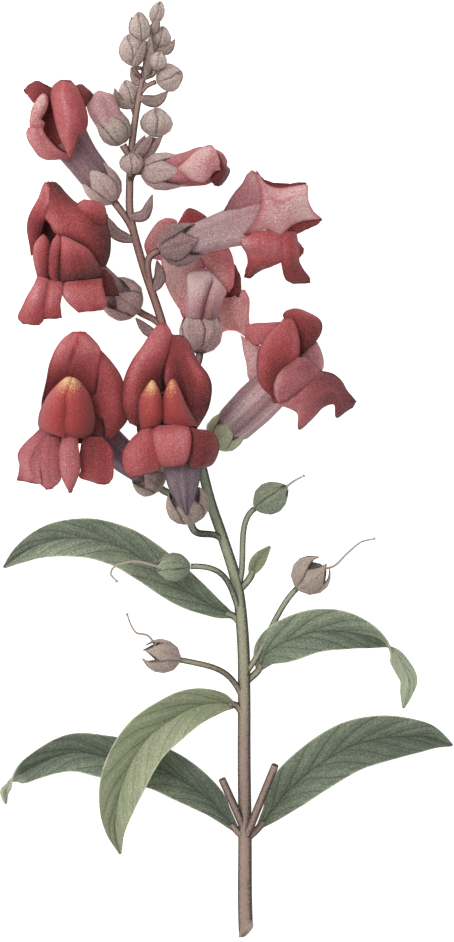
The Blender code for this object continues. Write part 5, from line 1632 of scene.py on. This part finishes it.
def makeSweepTree():
    # sweeps a round section along every curve, thick as the curve says
    tree = bpy.data.node_groups.new("stalkSweep", "GeometryNodeTree")
    tree.interface.new_socket(name="Stalks", in_out="INPUT", socket_type="NodeSocketGeometry")
    sides = tree.interface.new_socket(name="Sides", in_out="INPUT", socket_type="NodeSocketInt")
    skin = tree.interface.new_socket(name="Skin", in_out="INPUT", socket_type="NodeSocketMaterial")
    tree.interface.new_socket(name="Stalks", in_out="OUTPUT", socket_type="NodeSocketGeometry")
    sides.default_value = stemCut["sides"]
    given, result = tree.nodes.new("NodeGroupInput"), tree.nodes.new("NodeGroupOutput")
    radius = addNode(tree, "GeometryNodeInputRadius", (1, 2))
    section = addNode(tree, "GeometryNodeCurvePrimitiveCircle", (1, 1), Radius=1.0)
    sweep = addNode(tree, "GeometryNodeCurveToMesh", (2, 0))
    sweep.inputs["Fill Caps"].default_value = True
    real = addNode(tree, "GeometryNodeRealizeInstances", (3, 0))
    dress = addNode(tree, "GeometryNodeSetMaterial", (4, 0))
    linkAll(tree, (given, "Sides", section, "Resolution"), (given, "Stalks", sweep, "Curve"),
            (section, "Curve", sweep, "Profile Curve"), (radius, "Radius", sweep, "Scale"),
            (sweep, "Mesh", real, "Geometry"), (real, "Geometry", dress, "Geometry"),
            (given, "Skin", dress, "Material"), (dress, "Geometry", result, "Stalks"))
    return tree, sides.identifier, skin.identifier


def grownMesh(guide, tree, settings):
    # the mesh that a node tree makes on a guide object, which is then taken away
    modifier = guide.modifiers.new("grow", "NODES")
    modifier.node_group = tree
    for socket, value in settings.items():
        modifier[socket] = value
    graph = bpy.context.evaluated_depsgraph_get()
    mesh = bpy.data.meshes.new_from_object(guide.evaluated_get(graph))
    guide.modifiers.clear()
    bpy.data.objects.remove(guide)
    return mesh


def sweepStalks(name, lines):
    curve = bpy.data.curves.new(name, "CURVE")
    curve.dimensions = "3D"
    for path, radii in lines:
        path = (np.array(path) - np.array(spray["middle"])) * spray["unit"]
        spline = curve.splines.new("POLY")
        spline.points.add(len(path) - 1)
        for point, place, radius in zip(spline.points, path, radii):
            point.co = (*place, 1)
            point.radius = radius * spray["unit"]
    guide = newObject(name + "Line", curve)
    tree, sides, skin = makeSweepTree()
    return grownMesh(guide, tree, {sides: stemCut["sides"], skin: finishes["stalk"]})


def gatherStalks():
    lines = []

    def addLine(path, kind):
        lines.append((path, np.linspace(*stalkCut[kind], len(path))))

    places, radii = zip(*stemLine)
    radii = smoothLine([(radius,) for radius in radii], stemCut["steps"])[:, 0]
    lines.append((smoothLine(places, stemCut["steps"]), radii))
    for bloom in (*flowers.values(), *largeBuds.values()):
        addLine(stalkLine("flower", bloom["root"], bloom["base"], calyxAxis(bloom)), "flower")
    for root, foot, tip, _ in smallBuds.values():
        axis = (Vector(tip) - Vector(foot)).normalized()
        addLine(stalkLine("bud", root, foot, axis), "bud")
    for shape in capsules.values():
        axis = (Vector(shape["tip"]) - Vector(shape["foot"])).normalized()
        line = stalkLine("capsule", shape["root"], shape["foot"], axis, shape.get("straight", False))
        addLine(line, "capsule")
    for points in leaves.values():
        start, after = Vector(points[0][:3]), Vector(points[1][:3])
        way = (after - start).normalized()
        near, _ = onStem(start.y)
        root, _ = onStem(start.y - abs(start.x - near[0]))
        before, after = start - way * stalkCut["leafBack"], start + way * stalkCut["leafOn"]
        addLine(smoothLine([root, before, after], stemCut["steps"]), "leaf")
    for root, tip in sideShoots:
        axis, _ = onStem(root)
        addLine(smoothLine([axis, (Vector(axis) + Vector(tip)) / 2, tip], stemCut["steps"]), "shoot")
    return lines


bractCut = dict(
    steps=7, across=13, wall=0.3, lower=0.6, arch=0.5, tone=0.58, edge=0.3, edgeStart=0.8, midrib=0.1,
    midribWidth=0.14, lowest=80, mauve=(0.8, 0.2),
    half=((0, 0.3), (0.33, 0.42), (0.5, 0.9), (0.66, 1), (0.84, 0.7), (1, 0.04)),
)


def bractGrid(foot, belly, tip, width):
    root, _ = onStem(foot[1] - bractCut["lower"])
    path = smoothLine([root, foot, belly, tip], bractCut["steps"])
    face = np.array((0, 0, 1.0))
    half = np.interp(np.linspace(0, 1, len(path)), *zip(*bractCut["half"])) * width / 2
    s = np.linspace(-1, 1, bractCut["across"])
    grid = []
    for centre, way, reach in zip(path, waysOf(path), half):
        side = unitOf(np.cross(way, face))
        arch = (1 - s ** 2) * reach * bractCut["arch"]
        grid.append(centre + np.outer(s * reach, side) + np.outer(arch, face))
    return np.array(grid)


cutPlane = dict(along=-118.1, across=2.95, acrossSlope=0.78, heightSlope=0.72, tone=0.9)


def cutEnd(mesh):
    # the slanting cut: whatever lies beyond its plane is drawn back on to it
    unit = spray["unit"]
    tone = mesh.attributes["tone"]
    for vertex, value in zip(mesh.vertices, tone.data):
        x, y, z = vertex.co / unit + Vector(spray["middle"])
        plane = cutPlane["along"] + (x - cutPlane["across"]) * cutPlane["acrossSlope"]
        plane += z * cutPlane["heightSlope"]
        if y < plane:
            vertex.co.y = (plane - spray["middle"][1]) * unit
            value.value = cutPlane["tone"]


def makeStem():
    mesh = sweepStalks("stemFine", gatherStalks())
    paintMask(mesh, "tone", stemCut["tone"])
    mesh.shade_smooth()
    mesh.set_sharp_from_angle(angle=math.radians(surface["sharp"]))
    # painted shade down the sides of the stem and its stalks, and a painted highlight along their tops
    shadeForm(mesh, stemCut["round"], stemCut["crestHighlight"])
    cutEnd(mesh)
    made = newObject("stemFine", mesh)
    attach(made, "root")
    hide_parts("stem")


def makeBracts():
    piece = startPiece()
    edge = np.abs(np.linspace(-1, 1, bractCut["across"]))[None]
    shade = bractCut["tone"] - bractCut["edge"] * (edge > bractCut["edgeStart"])
    shade = shade - bractCut["midrib"] * np.exp(-(edge / bractCut["midribWidth"]) ** 2)
    for foot, belly, tip, width in bracts:
        mauve = bractCut["mauve"][0 if foot[1] < bractCut["lowest"] else 1]
        addSheet(piece, bractGrid(foot, belly, tip, width), bractCut["wall"], "bud", shade, mauve)
    makePiece(piece, "bractsFine", [])


makeStem()
makeBracts()
print("stem made")


# Leaves

leafCut = dict(
    alongSpan=9, across=29, wall=0.4, fold=24, bulge=0.35, full=3, tone=0.46, edge=0.1, leftSide=0.12,
    turned=0.42, turnSpan=0.05, round=0.3,
)
leafTone = dict(leaf_upper_right=0.08, leaf_pale=0.06, leaf_upper_left=0.04, leaf_low_left=-0.07)
turnedFrom = dict(leaf_upper_right=0.66, leaf_low_left=0.84)
paleLeaves = ("leaf_pale", "leaf_small")


def paleTip(name, along):
    # two leaves turn over near their tips and show their pale underside
    if name not in turnedFrom:
        return 0.0
    return leafCut["turned"] * softStep((along - turnedFrom[name]) / leafCut["turnSpan"])


def makeLeaf(name, points):
    places = smoothLine([point[:3] for point in points], leafCut["alongSpan"])
    shape = smoothLine([point[3:] for point in points], leafCut["alongSpan"])
    crease = math.radians(leafCut["fold"])
    s = np.linspace(-1, 1, leafCut["across"])
    aside = np.abs(s)
    length = np.concatenate([[0], np.cumsum(np.linalg.norm(np.diff(places, axis=0), axis=1))])
    v = length / length[-1]
    veins = paleVeins if name == "leaf_pale" else bladeVeins
    rows = []
    for place, way, (left, right, roll), share in zip(places, waysOf(places), shape, v):
        flatSide = Vector(np.cross(way, (0, 0, 1))).normalized()
        side = Matrix.Rotation(math.radians(roll), 3, Vector(way)) @ flatSide
        normal = np.array(side.cross(Vector(way)))
        reach = np.where(s < 0, left, right) * aside
        number = share * veins["count"] - aside ** veins["bend"] * veins["lean"] + veins["offset"] * (s > 0)
        part = np.abs(number % 1 - 0.5) * 2
        puff = leafCut["bulge"] * part ** 0.7 * np.sin(aside * math.pi) * min(1, left / leafCut["full"])
        rise = reach * math.sin(crease) + puff
        across = np.sign(s) * reach * math.cos(crease)
        rows.append(place + np.outer(across, side) + np.outer(rise, normal))
    grid = np.array(rows)
    grid[..., 2] = np.maximum(grid[..., 2], leafCut["wall"] / 2)
    u = np.broadcast_to((s / 2 + 0.5)[None], grid.shape[:2])
    along = np.broadcast_to(v[:, None], grid.shape[:2])
    tone = leafCut["tone"] + leafTone.get(name, 0.0) + leafCut["edge"] * aside[None]
    tone = tone + leafCut["leftSide"] * (s[None] < 0) + paleTip(name, along)
    piece = startPiece(leafCut["round"])
    pale = name in paleLeaves
    addSheet(piece, grid, leafCut["wall"], "paleLeaf" if pale else "leaf", tone, uv=(u, along))
    return makePiece(piece, name + "_fine", [name])


for name, points in leaves.items():
    makeLeaf(name, points)
print("leaves made")


# Down: short hairs on calyces, buds, capsules and stalks

down = dict(length=0.42, thick=0.035, perSquare=2.4, tone=0.92, shortest=0.5, longest=1.1)


def makeHairTree():
    # seeded points on the skin, each with a three-sided hair along its normal
    tree = bpy.data.node_groups.new("downHairs", "GeometryNodeTree")
    tree.interface.new_socket(name="Skin", in_out="INPUT", socket_type="NodeSocketGeometry")
    sockets = {}
    for label, kind, value in (("Density", "NodeSocketFloat", 1.0), ("Length", "NodeSocketFloat", 0.0004),
                               ("Thickness", "NodeSocketFloat", 0.00003), ("Seed", "NodeSocketInt", 3),
                               ("Finish", "NodeSocketMaterial", None)):
        sockets[label] = tree.interface.new_socket(name=label, in_out="INPUT", socket_type=kind)
        if value is not None:
            sockets[label].default_value = value
    tree.interface.new_socket(name="Hairs", in_out="OUTPUT", socket_type="NodeSocketGeometry")
    given, result = tree.nodes.new("NodeGroupInput"), tree.nodes.new("NodeGroupOutput")
    scatter = addNode(tree, "GeometryNodeDistributePointsOnFaces", (1, 0))
    hair = addNode(tree, "GeometryNodeMeshCone", (1, 2), Vertices=3)
    size = addNode(tree, "FunctionNodeRandomValue", (1, 1))
    size.inputs[2].default_value = down["shortest"]
    size.inputs[3].default_value = down["longest"]
    place = addNode(tree, "GeometryNodeInstanceOnPoints", (2, 0))
    real = addNode(tree, "GeometryNodeRealizeInstances", (3, 0))
    dress = addNode(tree, "GeometryNodeSetMaterial", (4, 0))
    linkAll(tree, (given, "Skin", scatter, "Mesh"), (given, "Density", scatter, "Density"),
            (given, "Seed", scatter, "Seed"), (given, "Seed", size, "Seed"),
            (given, "Thickness", hair, "Radius Bottom"), (given, "Length", hair, "Depth"),
            (scatter, "Points", place, "Points"), (scatter, "Rotation", place, "Rotation"),
            (hair, "Mesh", place, "Instance"), (size, 1, place, "Scale"),
            (place, "Instances", real, "Geometry"), (real, "Geometry", dress, "Geometry"),
            (given, "Finish", dress, "Material"), (dress, "Geometry", result, "Hairs"))
    return tree, {label: socket.identifier for label, socket in sockets.items()}


hairTree, hairSockets = makeHairTree()
hairSkin = makeSkin("hairSkin", budStops, dict(downLook, speckle=0.1, streak=0.0, depth=0.00002))


def growHairs(name, skins, share):
    joined = bmesh.new()
    for skin in skins:
        joined.from_mesh(skin.data)
    mesh = bpy.data.meshes.new(name + "Skin")
    joined.to_mesh(mesh)
    joined.free()
    unit = spray["unit"]
    settings = {"Density": down["perSquare"] * share / unit ** 2, "Length": down["length"] * unit,
                "Thickness": down["thick"] * unit, "Seed": spray["seed"], "Finish": hairSkin}
    guide = newObject(name + "Skin", mesh)
    hairs = grownMesh(guide, hairTree, {hairSockets[label]: value for label, value in settings.items()})
    hairs.name = name
    floor = -spray["middle"][2] * unit
    for vertex in hairs.vertices:
        vertex.co.z = max(vertex.co.z, floor)
    for label in ("tone", "mauve"):
        if label in hairs.attributes:
            hairs.attributes.remove(hairs.attributes[label])
    paintMask(hairs, "tone", down["tone"])
    made = newObject(name, hairs)
    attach(made, "root")


def skinsOf(*starts):
    return [each for each in bpy.context.scene.objects if each.name.startswith(starts)]


# the last number is the share of the full density
growHairs("calyxDown", skinsOf("calyxFine"), 1.0)
growHairs("budDown", skinsOf("budFine", "bractsFine"), 1.0)
growHairs("huskDown", skinsOf("capsuleFine"), 0.5)
growHairs("stemDown", skinsOf("stemFine"), 0.4)
print("down grown")


# Floor, light and camera

studio = dict(
    floorSize=3.0, paper=0.92, glow=0.8, world=0.62, key=16.0, keyPlace=(-0.9, 0.7, 1.6), keySize=1.1,
    lens=600.0, sensor=36.0, farthest=20.0, frameHeight=0.2355, frameLevel=0.015,
    middle=(0.0000895, -0.0002165),
)


def makeStudio():
    mesh = bpy.data.meshes.new("tableTop")
    half = studio["floorSize"] / 2
    corners = [(-half, -half, 0), (half, -half, 0), (half, half, 0), (-half, half, 0)]
    mesh.from_pydata(corners, [], [(0, 1, 2, 3)])
    floor = newObject("tableTop", mesh)
    material, _, shader = newFinish("paperWhite", 0.9, 0.0)
    shader.inputs["Base Color"].default_value = (*[studio["paper"]] * 3, 1)
    shader.inputs["Emission Color"].default_value = (1, 1, 1, 1)
    shader.inputs["Emission Strength"].default_value = studio["glow"]
    mesh.materials.append(material)
    world = bpy.data.worlds.new("studioSky")
    world.use_nodes = True
    sky = world.node_tree.nodes["Background"]
    sky.inputs["Color"].default_value = (1, 1, 1, 1)
    sky.inputs["Strength"].default_value = studio["world"]
    bpy.context.scene.world = world
    lamp = bpy.data.lights.new("softKey", "AREA")
    lamp.energy = studio["key"]
    lamp.size = studio["keySize"]
    key = newObject("softKey", lamp)
    key.location = studio["keyPlace"]
    key.rotation_euler = (-Vector(studio["keyPlace"])).to_track_quat("-Z", "Y").to_euler()
    bpy.context.scene.view_settings.view_transform = "Standard"


def makeCamera():
    camera = bpy.data.cameras.new("plateCamera")
    camera.lens = studio["lens"]
    camera.sensor_width = studio["sensor"]
    camera.clip_end = studio["farthest"]
    away = studio["frameHeight"] * studio["lens"] / studio["sensor"]
    made = newObject("plateCamera", camera)
    made.location = (*studio["middle"], studio["frameLevel"] + away)
    bpy.context.scene.camera = made


makeStudio()
makeCamera()
print("studio ready")
